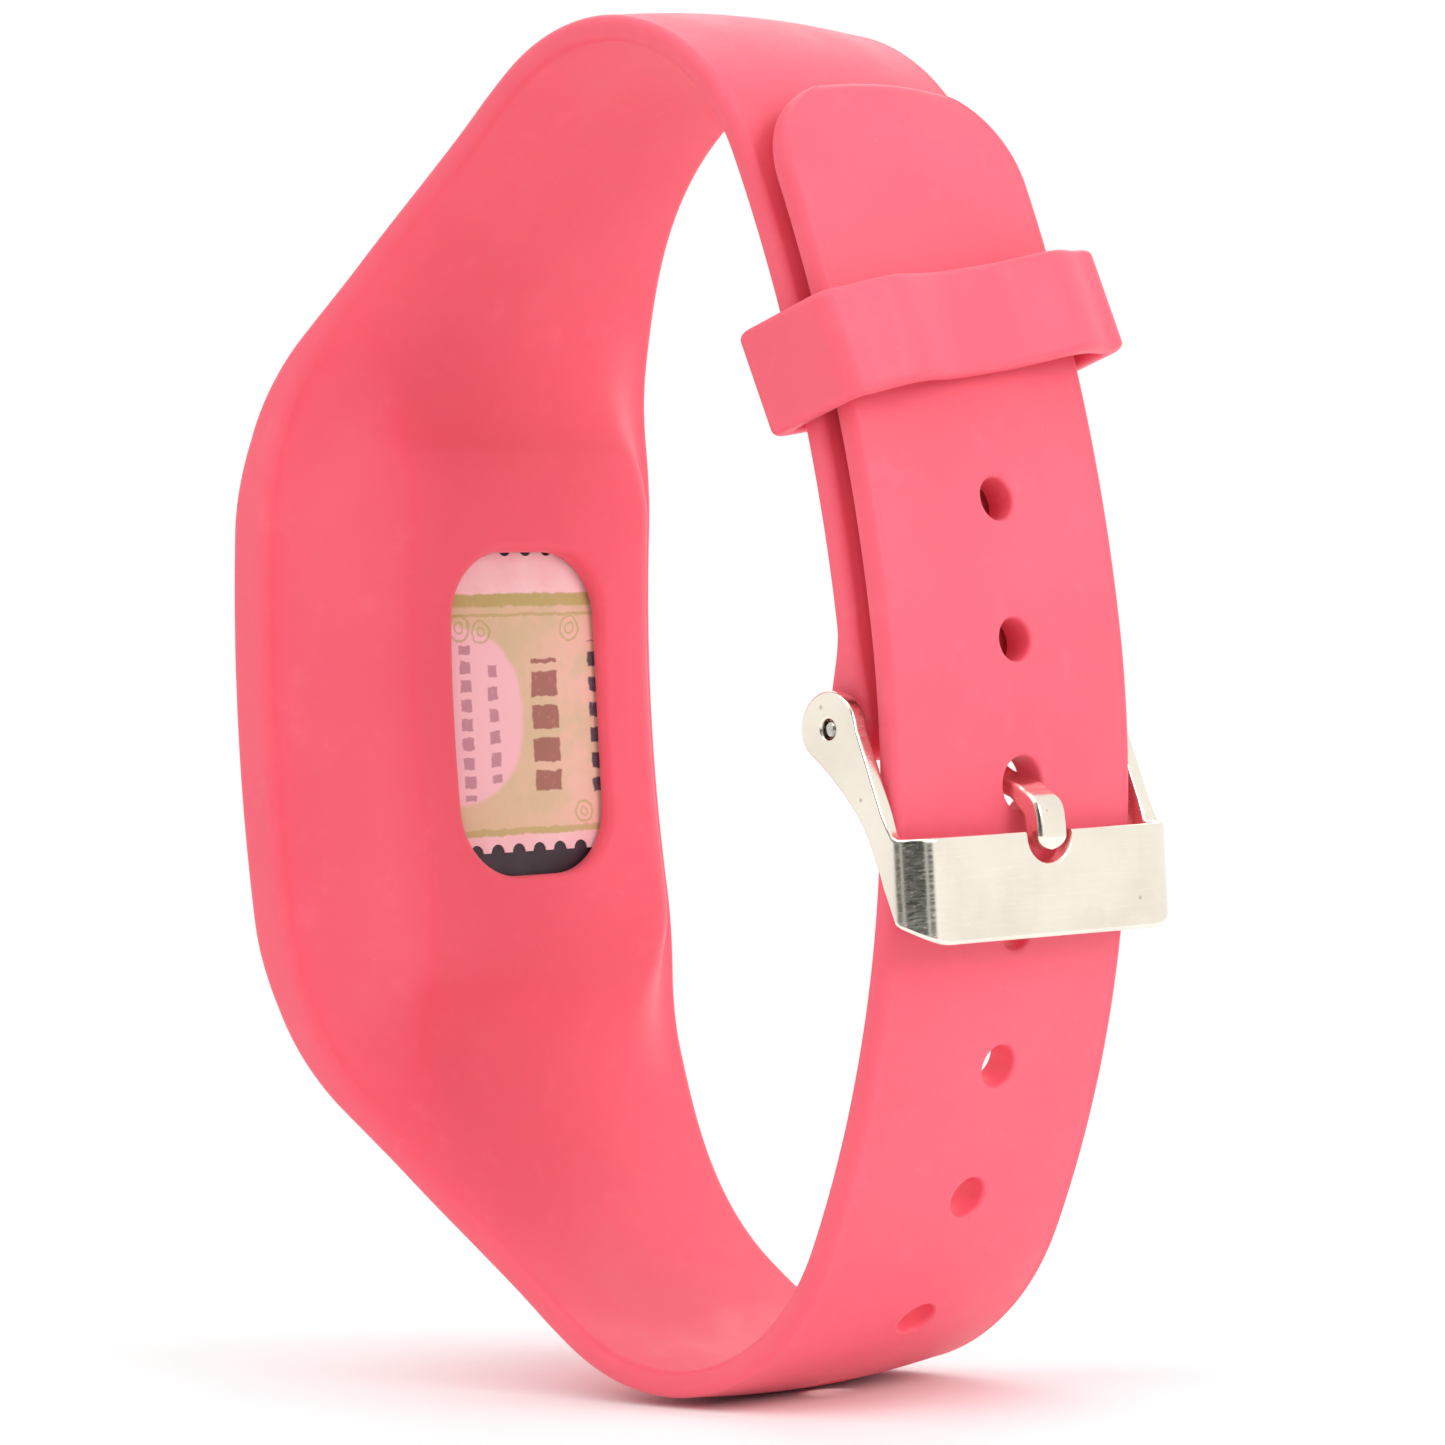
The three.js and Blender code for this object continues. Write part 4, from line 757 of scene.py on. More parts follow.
def bar_tube_rings():
    """The tube's wall, turned about its axis: bore, rounded mouth, outside, rounded mouth."""
    mouth = np.linspace(0, math.pi, 7)
    middle, wall = (TUBE_RADIUS + TUBE_BORE) / 2, (TUBE_RADIUS - TUBE_BORE) / 2
    far = np.stack([middle - wall * np.cos(mouth), TUBE_HALF - wall + wall * np.sin(mouth)], axis=-1)
    profile = np.vstack([far, far[::-1] * [1, -1]])
    rings = lathe(profile, 36, (BAR_X, 0, BAR_Z), (0, 1, 0), (1, 0, 0))
    return rings[::-1]


def pin_rings(side):
    """A pin: shank inside the tube, collar just outside the strap, and a rounded tip in the ear."""
    collar = END_WIDTH / 2 + 0.1
    tip_end = FRAME_OUTER - 0.1
    dome = quarter(6)
    profile = [[0.05, TUBE_HALF - 3], [0.43, TUBE_HALF - 3], [0.48, TUBE_HALF - 2.95], [0.48, collar]]
    profile += [[0.74, collar], [0.8, collar + 0.06], [0.8, collar + 0.34], [0.74, collar + 0.4], [0.42, collar + 0.4]]
    profile += [[0.42 * math.cos(t), tip_end - 0.2 + 0.2 * math.sin(t)] for t in dome[:-1]]
    return lathe(profile, 32, (BAR_X, 0, BAR_Z), (0, side, 0), (1, 0, 0))


SPRING_HALF, SPRING_RADIUS, SPRING_WIRE, SPRING_TURNS, PIN_TRAVEL = TUBE_HALF - 3.2, 0.4, 0.1, 6, 1.2


def spring_rings(side):
    """Half of the coil, on one side of the bar's middle: a circle carried along a helix whose angle
    grows evenly with Y."""
    along = np.linspace(min(side, 0), max(side, 0), 97)
    angle = along * math.pi * SPRING_TURNS
    radial = np.stack([np.cos(angle), 0 * angle, np.sin(angle)], axis=-1)
    centre = SPRING_RADIUS * radial + np.stack([BAR_X + 0 * along, along * SPRING_HALF, BAR_Z + 0 * along], axis=-1)
    way = np.gradient(centre, axis=0)
    way /= np.linalg.norm(way, axis=1, keepdims=True)
    turn = np.linspace(0, 2 * math.pi, 10, endpoint=False)[None, :, None]
    section = np.cos(turn) * radial[:, None] + np.sin(turn) * np.cross(way, radial)[:, None]
    return centre[:, None] + SPRING_WIRE * section


def spring_half(name, side):
    """Half of the coil, with a mesh of its own."""
    piece = finish_piece(tube(name, spring_rings(side)), "band", "spring_bar_spring")
    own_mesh(piece)
    return piece


bar_tube = finish_piece(tube("spring_bar_tube", bar_tube_rings(), wrap=True), "band", "spring_bar_tube")
spring_near = spring_half("spring_near_half", -1)
spring_far = spring_half("spring_far_half", 1)
pin_near = finish_piece(tube("spring_bar_pin_near", pin_rings(-1)), "pin_near", "spring_bar_pin_near")
pin_far = finish_piece(tube("spring_bar_pin_far", pin_rings(1)), "pin_far", "spring_bar_pin_far")

# ---------------------------------------------------------------- display window and key

LENS_SURFACE = FRONT_SKIN - 0.2
LENS_BACK_X = CORE_BACK_X - 1.5 - 3.7 - 0.7
KEY_RADIUS, KEY_Z = 2.2, 2.2 + 0.6 - 13.2
KEY_FACE_X = float(core_front_at(KEY_Z, LENS_SURFACE)) - 0.3
KEY_FOOT_X = -20.9


def lens_rings():
    """The window's outline grows from its middle over the curved front, turns in a quarter circle
    at its edge, and goes straight to its back."""
    edge = 0.3
    rings = []
    y, z = rounded_rectangle(LENS_HALF[0] - edge, LENS_HALF[1] - edge, LENS_CORNER - edge, 14, 26)
    for share in [*np.linspace(0.04, 0.9, 12), 0.95, 0.98]:
        rings.append(np.stack([core_front_at(z * share, LENS_SURFACE), y * share, z * share], axis=-1))
    for t in quarter(7):
        grow = edge * math.sin(t) - edge
        y, z = rounded_rectangle(LENS_HALF[0] + grow, LENS_HALF[1] + grow, LENS_CORNER + grow, 14, 26)
        rings.append(np.stack([core_front_at(z, LENS_SURFACE) + edge * (1 - math.cos(t)), y, z], axis=-1))
    rings.append(np.stack([np.full_like(y, LENS_BACK_X - 0.05), y, z], axis=-1))
    rings.append(np.stack([np.full_like(y, LENS_BACK_X), y * 0.985, z * 0.995], axis=-1))
    return np.stack(rings)


def key_hole_rings():
    """The key's hole through the window, with a small flared mouth."""
    face = KEY_FACE_X + 0.3
    radius, lip = KEY_RADIUS + 0.1, 0.14
    profile = [[radius + lip + 0.02, face - 0.6], *[[radius + lip * (1 - math.sin(t)), face + lip * (1 - math.cos(t))] for t in quarter(5)]]
    profile += [[radius, LENS_BACK_X + 0.5]]
    return lathe(profile, 56, (0, 0, KEY_Z), (1, 0, 0), (0, 1, 0))


def key_rings():
    """The key: a shallow dished face, a rounded rim, a stem, and a flange behind the window."""
    stem, rim = KEY_RADIUS - 0.05, 0.22
    dish = [[r, KEY_FACE_X + 0.14 * (1 - (r / (stem - rim)) ** 2)] for r in np.linspace(0.05, stem - rim, 10)]
    edge = [[stem - rim + rim * math.sin(t), KEY_FACE_X + rim * (1 - math.cos(t))] for t in quarter(6)[1:]]
    foot = [[stem, KEY_FOOT_X - 0.5], [stem + 0.4, KEY_FOOT_X - 0.5], [stem + 0.4, KEY_FOOT_X], [0.05, KEY_FOOT_X]]
    return lathe([*dish, *edge, *foot], 56, (0, 0, KEY_Z), (1, 0, 0), (0, 1, 0))


lens = tube("display_window", lens_rings())
cut(lens, tube("key_hole_cutter", key_hole_rings()))
finish_piece(lens, "band", "display_window")
key = finish_piece(tube("key_cap", key_rings()), "key", "key_cap")

# ---------------------------------------------------------------- paper seal

LABEL_HALF = WINDOW_HALF[0] + 0.8
LABEL_LOW, LABEL_HIGH = -WINDOW_HALF[1] + 1.4, WINDOW_HALF[1] + 0.3
LABEL_DEPTH = 0.12


def label_mesh():
    """A thin sheet whose lower and upper edges are bitten in half circles, as a perforated stamp's
    are, and which lies in faint waves on the cover."""
    columns, rows = 300, 40
    y = np.linspace(-LABEL_HALF, LABEL_HALF, columns)
    pitch, radius = 1.6, 0.5
    off = (y / pitch - np.floor(y / pitch) - 0.5) * pitch
    bite = np.sqrt(np.maximum(radius**2 - off**2, 0))
    share = np.linspace(0, 1, rows)[:, None]
    z = (LABEL_LOW + bite) * (1 - share) + (LABEL_HIGH - bite) * share
    y = np.broadcast_to(y, z.shape)
    wave = 0.015 * (np.sin(y * 1.1 + z * 0.5) + np.sin(z * 0.9 - 1))
    top = np.stack([CORE_BACK_X + LABEL_DEPTH - 0.03 + wave, y, z], axis=-1).reshape(-1, 3)
    under = np.stack([np.full_like(z, CORE_BACK_X), y, z], axis=-1).reshape(-1, 3)
    count = rows * columns
    index = np.arange(count).reshape(rows, columns)
    quads = np.stack([index[:-1, :-1], index[:-1, 1:], index[1:, 1:], index[1:, :-1]], axis=-1).reshape(-1, 4)
    border = np.concatenate([index[0], index[1:, -1], index[-1, -2::-1], index[-2:0:-1, 0]])
    after = np.roll(border, -1)
    rim = np.stack([border + count, after + count, after, border], axis=-1)
    return np.vstack([top, under]), [quads, quads[:, ::-1] + count, rim]


label = finish_piece(mesh_object("seal_label", *label_mesh()), "band", "seal_label")

# ---------------------------------------------------------------- finishes


class Finish:
    """A material under way: its node tree, its shader, and the object's own coordinates."""

    def __init__(self, name, **sockets):
        self.material = bpy.data.materials.new(name)
        self.material.use_nodes = True
        self.nodes = self.material.node_tree.nodes
        self.links = self.material.node_tree.links
        self.shader = self.nodes["Principled BSDF"]
        for socket, value in sockets.items():
            self.shader.inputs[socket.replace("_", " ").title().replace("Ior", "IOR")].default_value = value
        self.place = self.nodes.new("ShaderNodeTexCoord").outputs["Object"]

    def add(self, kind, output, inputs, **settings):
        """Adds a node, fills or joins its inputs by name or number, and gives back an output."""
        node = self.nodes.new(kind)
        for setting, value in settings.items():
            setattr(node, setting, value)
        for socket, value in inputs.items():
            if isinstance(value, bpy.types.NodeSocket):
                self.links.new(value, node.inputs[socket])
            else:
                node.inputs[socket].default_value = value
        return node.outputs[output]

    def stretched(self, scale, turn=(0, 0, 0)):
        """The object's coordinates, turned and scaled differently each way."""
        return self.add("ShaderNodeMapping", 0, {"Vector": self.place, "Rotation": turn, "Scale": scale})

    def noise(self, scale, detail=3, roughness=0.5, place=None, distortion=0.0):
        """Soft noise whose patches are about 1/scale metres across."""
        inputs = {"Vector": place or self.place, "Scale": scale, "Detail": detail}
        return self.add("ShaderNodeTexNoise", "Fac", {**inputs, "Roughness": roughness, "Distortion": distortion})

    def cells(self, scale, feature="F1", place=None):
        """Distance to the nearest of scattered points."""
        return self.add("ShaderNodeTexVoronoi", "Distance", {"Vector": place or self.place, "Scale": scale}, feature=feature)

    def fit(self, value, low, high, to_low=0.0, to_high=1.0, smooth=True):
        """The value's range low to high carried on to another range, eased at its ends."""
        kind = "SMOOTHSTEP" if smooth else "LINEAR"
        inputs = {"Value": value, "From Min": low, "From Max": high, "To Min": to_low, "To Max": to_high}
        return self.add("ShaderNodeMapRange", "Result", inputs, interpolation_type=kind)

    def sum(self, operation, first, second=0.0, third=0.0):
        """One arithmetic step."""
        return self.add("ShaderNodeMath", 0, {0: first, 1: second, 2: third}, operation=operation)

    def mix(self, share, first, second):
        """From the first colour to the second as the share goes from 0 to 1."""
        colours = {
            place: (*value, 1) if isinstance(value, tuple) else value for place, value in ((6, first), (7, second))
        }
        return self.add("ShaderNodeMix", 2, {0: share, **colours}, data_type="RGBA")

    def split(self):
        """The object's X, Y and Z in millimetres."""
        whole = self.add("ShaderNodeVectorMath", 0, {0: self.place, 3: 1 / MM}, operation="SCALE")
        node = self.nodes.new("ShaderNodeSeparateXYZ")
        self.links.new(whole, node.inputs[0])
        return node.outputs

    def inside(self, value, low, high, soft=0.06):
        """1 between low and high, falling softly to 0 outside."""
        rise = self.fit(value, low - soft, low + soft)
        fall = self.fit(value, high - soft, high + soft, 1.0, 0.0)
        return self.sum("MULTIPLY", rise, fall)

    def set(self, **sockets):
        """Joins a worked-out value to the shader's sockets."""
        for socket, value in sockets.items():
            self.links.new(value, self.shader.inputs[socket.replace("_", " ").title()])

    def bumps(self, *layers):
        """Raises the surface by each height in turn: (height from 0 to 1, depth in mm, strength)."""
        normal = None
        for height, depth, strength in layers:
            inputs = {"Height": height, "Distance": depth * MM, "Strength": strength}
            if normal:
                inputs["Normal"] = normal
            normal = self.add("ShaderNodeBump", 0, inputs)
        self.links.new(normal, self.shader.inputs["Normal"])


def coral_silicone():
    """Moulded silicone: satin, slightly see-through at its edges, faintly cloudy, with the mould's
    fine grain, a few dust specks and rubbed patches."""
    f = Finish(
        "coral silicone",
        subsurface_weight=0.22,
        subsurface_radius=(1.0, 0.22, 0.25),
        subsurface_scale=1.1 * MM,
        specular_ior_level=0.42,
        sheen_weight=0.12,
        sheen_roughness=0.5,
        sheen_tint=(1.0, 0.72, 0.74, 1),
    )
    cloud = f.noise(85, 4)
    rubbed = f.noise(420, 5, 0.62)
    grain = f.noise(5200, 3, 0.6)
    specks = f.fit(f.cells(620), 0.035, 0.075, 1.0, 0.0)
    base = f.mix(f.fit(cloud, 0.3, 0.72), (0.89, 0.108, 0.166), (0.925, 0.124, 0.184))
    paler = f.mix(f.fit(rubbed, 0.52, 0.8, 0.0, 0.35), base, (0.96, 0.18, 0.25))
    f.set(
        base_color=f.mix(f.sum("MULTIPLY", specks, 0.28), paler, (0.78, 0.2, 0.23)),
        roughness=f.fit(f.sum("ADD", f.sum("MULTIPLY", rubbed, 0.6), f.sum("MULTIPLY", grain, 0.4)), 0.3, 0.7, 0.43, 0.6),
    )
    f.bumps((cloud, 0.05, 0.25), (rubbed, 0.012, 0.35), (grain, 0.006, 0.5))
    return f.material


def polished_steel():
    """Warm polished sheet steel with a faint rolling grain, hairline scratches, small dings and a
    few dark pits."""
    f = Finish("polished steel", metallic=1.0, specular_ior_level=0.5)
    tone = f.noise(260, 4)
    rolling = f.noise(1, 4, 0.6, f.stretched((2600, 420, 9000)))
    hairs = f.noise(1, 2, 0.5, f.stretched((6000, 700, 24000), (0.5, 0.2, 0.7)))
    scratch = f.fit(hairs, 0.66, 0.72)
    dings = f.fit(f.cells(230), 0.0, 0.22, 1.0, 0.0)
    pits = f.fit(f.cells(420), 0.035, 0.07, 1.0, 0.0)
    warm = f.mix(f.fit(tone, 0.3, 0.7), (0.85, 0.79, 0.70), (0.93, 0.875, 0.78))
    f.set(
        base_color=f.mix(f.sum("MULTIPLY", pits, 0.5), warm, (0.3, 0.26, 0.22)),
        roughness=f.sum("ADD", f.fit(rolling, 0.3, 0.7, 0.13, 0.24), f.sum("MULTIPLY", scratch, 0.12)),
    )
    f.bumps((tone, 0.03, 0.2), (dings, 0.02, 0.3), (rolling, 0.004, 0.25), (scratch, 0.004, -0.5))
    return f.material


def turned_steel(name, colour, ring_scale):
    """Steel turned on a lathe: fine rings along its axis in its roughness and bump, and darker patches at random."""
    f = Finish(name, metallic=1.0)
    rings = f.noise(1, 3, 0.6, f.stretched((300, ring_scale, 300)))
    dull = f.noise(900, 3)
    darker = tuple(part * 0.55 for part in colour)
    f.set(
        base_color=f.mix(f.fit(dull, 0.35, 0.7), colour, darker),
        roughness=f.fit(rings, 0.3, 0.7, 0.2, 0.4),
    )
    f.bumps((rings, 0.01, 0.4), (dull, 0.01, 0.2))
    return f.material


def plated_sheet():
    """Nickel-plated spring sheet and cell cases: even, faintly brushed, with handling marks."""
    f = Finish("nickel plated sheet", metallic=1.0)
    brushed = f.noise(1, 3, 0.6, f.stretched((900, 900, 9000)))
    marks = f.noise(700, 4, 0.65)
    f.set(
        base_color=f.mix(f.fit(marks, 0.4, 0.75), (0.74, 0.72, 0.67), (0.6, 0.57, 0.52)),
        roughness=f.fit(brushed, 0.3, 0.7, 0.22, 0.36),
    )
    f.bumps((brushed, 0.005, 0.35), (marks, 0.01, 0.2))
    return f.material


def eroded_plastic(name, colour, paler, rough_low, rough_high):
    """Moulded plastic from a spark-eroded mould: a fine even pebble, slightly polished where it has
    been handled."""
    f = Finish(name, specular_ior_level=0.45)
    pebble = f.cells(4200)
    handled = f.noise(330, 4)
    f.set(
        base_color=f.mix(f.fit(handled, 0.35, 0.75), colour, paler),
        roughness=f.fit(handled, 0.3, 0.7, rough_high, rough_low),
    )
    f.bumps((pebble, 0.012, 0.45), (handled, 0.02, 0.15))
    return f.material


def display_glass():
    """A black-printed window: gloss black, a faint grey-green panel where the display lies behind
    it, a fine printed line about the panel, and light smears."""
    f = Finish("display window", specular_ior_level=0.42, coat_weight=0.2, coat_roughness=0.04)
    x, y, z = f.split()
    panel = f.sum("MULTIPLY", f.inside(y, -4.0, 4.0, 0.04), f.inside(z, -6.4, 11.8, 0.04))
    outer = f.sum("MULTIPLY", f.inside(y, -4.25, 4.25, 0.03), f.inside(z, -6.65, 12.05, 0.03))
    line = f.sum("SUBTRACT", outer, panel)
    smear = f.noise(1, 4, 0.6, f.stretched((200, 260, 90), (0.4, 0, 0)))
    dust = f.fit(f.cells(900), 0.03, 0.06, 1.0, 0.0)
    glass = f.mix(panel, (0.0045, 0.0045, 0.0055), (0.016, 0.019, 0.016))
    edged = f.mix(f.sum("MULTIPLY", line, 0.8), glass, (0.03, 0.03, 0.032))
    f.set(
        base_color=f.mix(f.sum("MULTIPLY", dust, 0.25), edged, (0.25, 0.24, 0.24)),
        roughness=f.fit(smear, 0.35, 0.75, 0.04, 0.16),
    )
    f.bumps((smear, 0.01, 0.08))
    return f.material


def printed_paper():
    """A paper seal: pale pink stock with an olive border, a tan ground, a pale oval, curls, rows of
    plain dashes and a row of plain blocks, all a little worn and bled into the fibres."""
    f = Finish("printed paper", specular_ior_level=0.2, sheen_weight=0.1)
    x, y, z = f.split()
    fibre = f.noise(2600, 4, 0.7)
    blot = f.noise(380, 4, 0.6)
    waver = f.sum("MULTIPLY", f.sum("SUBTRACT", f.noise(1500, 2), 0.5), 0.35)
    y, z = f.sum("ADD", y, waver), f.sum("ADD", z, waver)
    stock = f.mix(f.fit(blot, 0.3, 0.7), (0.93, 0.62, 0.64), (0.97, 0.74, 0.75))
    field = f.inside(z, -7.1, 7.1)
    ground = f.mix(f.fit(y, -1.0, 5.0), (0.74, 0.62, 0.38), (0.86, 0.60, 0.47))
    ground = f.mix(f.fit(blot, 0.42, 0.62, 0.0, 0.7), ground, (0.63, 0.60, 0.32))
    paper = f.mix(f.sum("MULTIPLY", field, 0.9), stock, ground)

    oval_y = f.sum("POWER", f.sum("DIVIDE", f.sum("ADD", y, 5.4), 5.4), 2.0)
    oval_z = f.sum("POWER", f.sum("ABSOLUTE", f.sum("DIVIDE", z, 5.3)), 2.6)
    oval = f.fit(f.sum("ADD", oval_y, oval_z), 0.9, 1.06, 1.0, 0.0)
    paper = f.mix(oval, paper, (0.95, 0.64, 0.67))

    upper = f.inside(z, 6.35, 7.1, 0.08)
    lines = f.sum("ADD", f.inside(z, 5.75, 5.95, 0.05), f.inside(z, -7.1, -6.7, 0.07))
    border = f.sum("MINIMUM", f.sum("ADD", upper, f.sum("MULTIPLY", lines, 0.8)), 1.0)
    paper = f.mix(f.sum("MULTIPLY", border, 0.75), paper, (0.47, 0.45, 0.12))
    for centre_y, centre_z, size in ((-4.6, 5.1, 0.85), (-2.9, 4.9, 0.7), (3.9, 5.0, 0.75), (4.4, -5.9, 0.7)):
        away_y, away_z = f.sum("SUBTRACT", y, centre_y), f.sum("SUBTRACT", z, centre_z)
        away = f.sum("SQRT", f.sum("ADD", f.sum("MULTIPLY", away_y, away_y), f.sum("MULTIPLY", away_z, away_z)))
        curl = f.sum("ADD", f.inside(away, size * 0.82, size, 0.05), f.inside(away, size * 0.3, size * 0.45, 0.05))
        paper = f.mix(f.sum("MULTIPLY", curl, 0.7), paper, (0.50, 0.48, 0.16))

    for middle, half, low, high, pitch, share in ((-4.25, 0.42, -5.0, 4.1, 1.12, 0.7), (-2.2, 0.36, -4.0, 2.9, 1.3, 0.66)):
        beat = f.sum("FRACT", f.sum("DIVIDE", f.sum("ADD", z, 20.0), pitch))
        dash = f.sum("MULTIPLY", f.inside(beat, 0.06, share, 0.03), f.inside(z, low, high))
        dash = f.sum("MULTIPLY", dash, f.inside(y, middle - half, middle + half, 0.06))
        paper = f.mix(f.sum("MULTIPLY", dash, 0.62), paper, (0.34, 0.13, 0.20))

    beat = f.sum("FRACT", f.sum("DIVIDE", f.sum("ADD", z, 20.6), 1.95))
    blocks = f.sum("MULTIPLY", f.inside(beat, 0.08, 0.82, 0.025), f.inside(z, -4.55, 3.2))
    blocks = f.sum("MULTIPLY", blocks, f.inside(y, 0.75, 2.75, 0.06))
    paper = f.mix(f.sum("MULTIPLY", blocks, 0.85), paper, (0.33, 0.12, 0.105))
    beat = f.sum("FRACT", f.sum("DIVIDE", f.sum("ADD", z, 20.0), 1.5))
    ticks = f.sum("MULTIPLY", f.inside(beat, 0.1, 0.7, 0.03), f.inside(z, -4.8, 4.2))
    ticks = f.sum("MULTIPLY", ticks, f.fit(y, 5.15, 5.3))
    paper = f.mix(f.sum("MULTIPLY", ticks, 0.9), paper, (0.06, 0.03, 0.09))
    worn = f.mix(f.fit(fibre, 0.55, 0.8, 0.0, 0.3), paper, (0.98, 0.66, 0.64))
    f.set(base_color=worn, roughness=f.fit(fibre, 0.3, 0.7, 0.6, 0.85))
    f.bumps((fibre, 0.02, 0.4), (blot, 0.03, 0.2))
    return f.material


def circuit_green():
    """Solder-masked board: green lacquer over faint copper tracks, with tinned pads."""
    f = Finish("green circuit board", coat_weight=0.3, coat_roughness=0.2)
    tracks = f.add(
        "ShaderNodeTexBrick", "Fac", {"Vector": f.stretched((1, 1, 1), (0, RIGHT_ANGLE, 0)), "Scale": 420, "Mortar Size": 0.03}
    )
    pads = f.fit(f.cells(520), 0.1, 0.16, 1.0, 0.0)
    mask = f.mix(f.noise(600, 3), (0.012, 0.13, 0.045), (0.02, 0.19, 0.07))
    tracked = f.mix(f.sum("MULTIPLY", tracks, 0.5), mask, (0.05, 0.3, 0.09))
    f.set(
        base_color=f.mix(f.sum("MULTIPLY", pads, 0.8), tracked, (0.6, 0.58, 0.52)),
        roughness=f.fit(f.noise(1800, 3), 0.3, 0.7, 0.3, 0.45),
    )
    f.bumps((tracks, 0.02, 0.4), (pads, 0.02, 0.4))
    return f.material


def studio_floor():
    """A pale, faintly mottled paper sweep."""
    f = Finish("pale floor", roughness=0.8, specular_ior_level=0.1)
    f.set(base_color=f.mix(f.noise(14, 3), (0.955, 0.955, 0.955), (0.975, 0.975, 0.975)))
    return f.material


FINISHES = {
    "coral_silicone": coral_silicone(),
    "polished_steel": polished_steel(),
    "spring_bar_steel": turned_steel("spring bar steel", (0.72, 0.70, 0.66), 5200),
    "screw_steel": turned_steel("screw steel", (0.62, 0.6, 0.57), 300),
    "plated_steel": plated_sheet(),
    "core_plastic": eroded_plastic("dark core plastic", (0.024, 0.012, 0.022), (0.045, 0.024, 0.04), 0.32, 0.5),
    "key_plastic": eroded_plastic("black key plastic", (0.012, 0.012, 0.014), (0.03, 0.03, 0.032), 0.25, 0.42),
    "display_window": display_glass(),
    "lcd_glass": eroded_plastic("display panel", (0.2, 0.24, 0.18), (0.26, 0.3, 0.23), 0.1, 0.2),
    "white_plastic": eroded_plastic("white holder plastic", (0.72, 0.72, 0.70), (0.8, 0.8, 0.78), 0.35, 0.5),
    "seal_rubber": eroded_plastic("black seal rubber", (0.02, 0.02, 0.021), (0.04, 0.04, 0.042), 0.6, 0.8),
    "board_green": circuit_green(),
    "chip_black": eroded_plastic("black chip resin", (0.014, 0.014, 0.015), (0.03, 0.03, 0.03), 0.4, 0.55),
    "label_paper": printed_paper(),
}

PIECE_SLOTS = {
    "coral_silicone": [band, keeper],
    "polished_steel": [buckle, tongue],
    "spring_bar_steel": [bar_tube, pin_near, pin_far, spring_near, spring_far],
    "display_window": [lens],
    "key_plastic": [key],
    "label_paper": [label],
}
for slot_name, made in PIECE_SLOTS.items():
    for piece in made:
        piece.data.materials.clear()
        piece.data.materials.append(FINISHES[slot_name])

# The pieces inside the core stay as they are and take their own finishes.
NODE_SLOTS = {
    "core_plastic": ["core_front_case", "core_back_cover"],
    "screw_steel": [f"case_screw_{number}" for number in (1, 2, 3, 4)],
    "plated_steel": ["coin_cell", "cell_contact_front", "cell_clip_back", "key_switch", "crystal_can"],
    "lcd_glass": ["lcd_panel"],
    "white_plastic": ["lcd_holder", "backlight_sheet"],
    "seal_rubber": ["cover_seal", "zebra_strip_upper", "zebra_strip_lower"],
    "board_green": ["circuit_board"],
    "chip_black": ["controller_chip", "motion_sensor", "smoothing_capacitor_1", "smoothing_capacitor_2", "light_resistor"],
}
for slot_name, names in NODE_SLOTS.items():
    for name in names:
        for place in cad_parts[name].material_slots:
            place.material = FINISHES[slot_name]

# ---------------------------------------------------------------- floor and light


def floor_mesh():
    """A flat disc of rings that widen as the square of their order."""
    radius = (np.linspace(0.05, 1, 16) ** 2)[:, None] * 230
    angle = np.linspace(0, 2 * math.pi, 96, endpoint=False)[None, :]
    low = cad_bounds[0][2] / MM - 0.06
    rings = np.stack(np.broadcast_arrays(radius * np.cos(angle), radius * np.sin(angle), low), axis=-1)
    return rings_mesh(rings[::-1])


floor_points, floor_faces = floor_mesh()
floor = mesh_object("floor", floor_points, [floor_faces[0], floor_faces[2]])
floor.data.materials.append(studio_floor())


def area_light(name, turn, rise, distance, size, watts, colour=(1, 1, 1)):
    """A soft square light at an azimuth and elevation round the part, aimed at its middle."""
    data = bpy.data.lights.new(name, "AREA")
    data.energy, data.size, data.color = watts, size, colour
    light = bpy.data.objects.new(name, data)
    turn, rise = math.radians(turn), math.radians(rise)
    way = Vector((math.sin(turn) * math.cos(rise), -math.cos(turn) * math.cos(rise), math.sin(rise)))
    light.location = way * distance
    light.rotation_euler = way.to_track_quat("Z", "Y").to_euler()
    bpy.context.scene.collection.objects.link(light)


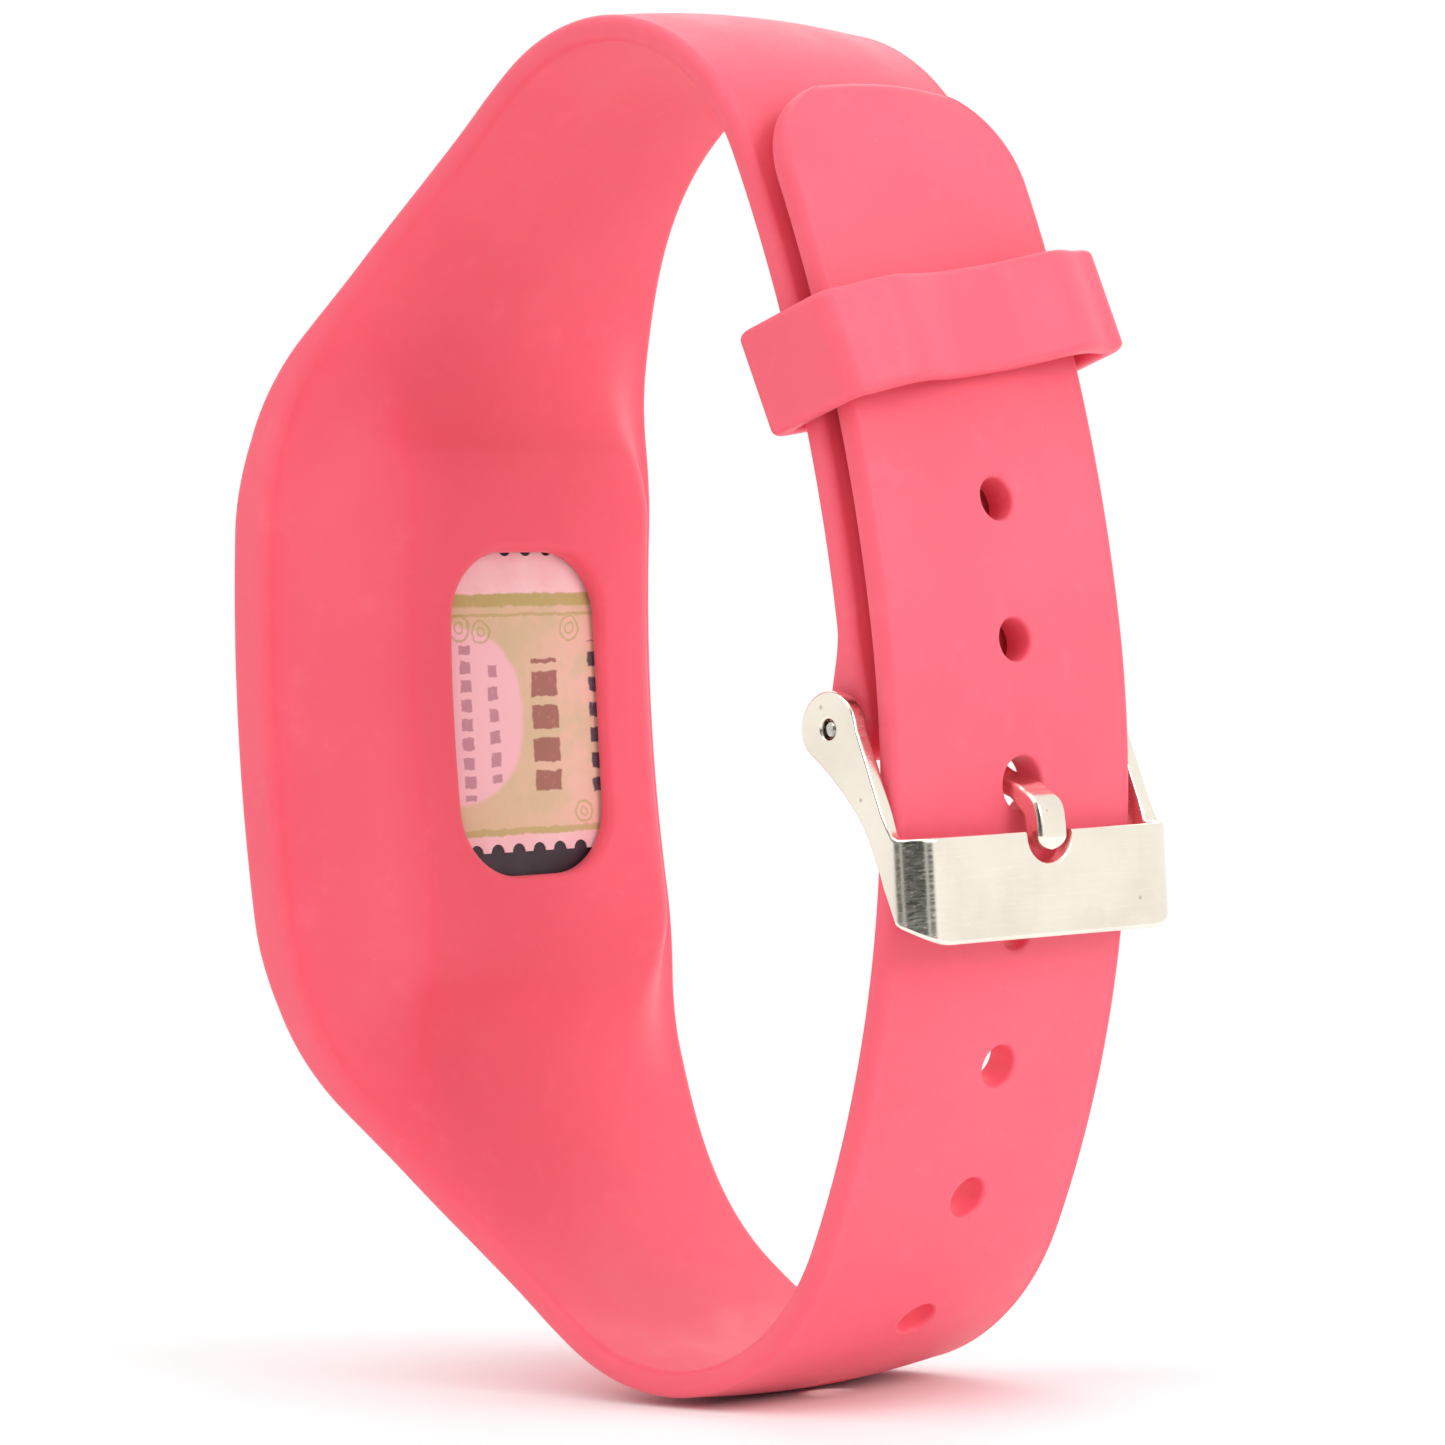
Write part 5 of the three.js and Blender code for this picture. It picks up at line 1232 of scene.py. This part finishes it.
area_light("left softbox", 5, 50, 0.6, 0.45, 0.6, (1.0, 0.99, 0.97))
area_light("right softbox", 98, 24, 0.7, 0.35, 1.7)
area_light("back softbox", 225, 40, 0.7, 0.5, 0.9)
area_light("top softbox", 60, 80, 0.7, 0.5, 0.9)


TENT_LIGHT = 0.74


def studio_world():
    """An even white tent. What shines in it is white too, but for the dark gap in the tent where the
    camera looks in, with one pale strip on either side of it."""
    world = bpy.data.worlds.new("white tent")
    bpy.context.scene.world = world
    world.use_nodes = True
    nodes, links = world.node_tree.nodes, world.node_tree.links
    way = nodes.new("ShaderNodeTexCoord").outputs["Generated"]
    facing = nodes.new("ShaderNodeVectorMath")
    facing.operation = "DOT_PRODUCT"
    links.new(way, facing.inputs[0])
    facing.inputs[1].default_value = (math.sin(CAMERA_TURN), -math.cos(CAMERA_TURN), 0)
    ramp = nodes.new("ShaderNodeValToRGB")
    links.new(facing.outputs["Value"], ramp.inputs[0])
    stops = [(0.0, 1.0), (0.55, 1.0), (0.62, 0.12), (0.76, 0.09), (0.81, 0.5), (0.84, 0.5), (0.88, 0.04), (1.0, 0.04)]
    while len(ramp.color_ramp.elements) < len(stops):
        ramp.color_ramp.elements.new(0.5)
    for element, (place, shade) in zip(ramp.color_ramp.elements, stops):
        element.position = place
        element.color = (shade, shade * 0.985, shade * 0.95, 1)
    path = nodes.new("ShaderNodeLightPath")
    colour = None
    for ray, seen in ((None, TENT_LIGHT), ("Is Camera Ray", 1.0), ("Is Glossy Ray", ramp.outputs["Color"])):
        choice = nodes.new("ShaderNodeMix")
        choice.data_type = "RGBA"
        if ray is None:
            choice.inputs[0].default_value = 0
            choice.inputs[6].default_value = (seen, seen, seen, 1)
        else:
            links.new(path.outputs[ray], choice.inputs[0])
            links.new(colour, choice.inputs[6])
            if isinstance(seen, float):
                choice.inputs[7].default_value = (seen, seen, seen, 1)
            else:
                links.new(seen, choice.inputs[7])
        colour = choice.outputs[2]
    links.new(colour, nodes["Background"].inputs["Color"])


studio_world()
bpy.context.scene.view_settings.view_transform = "Standard"
bpy.context.scene.view_settings.look = "None"
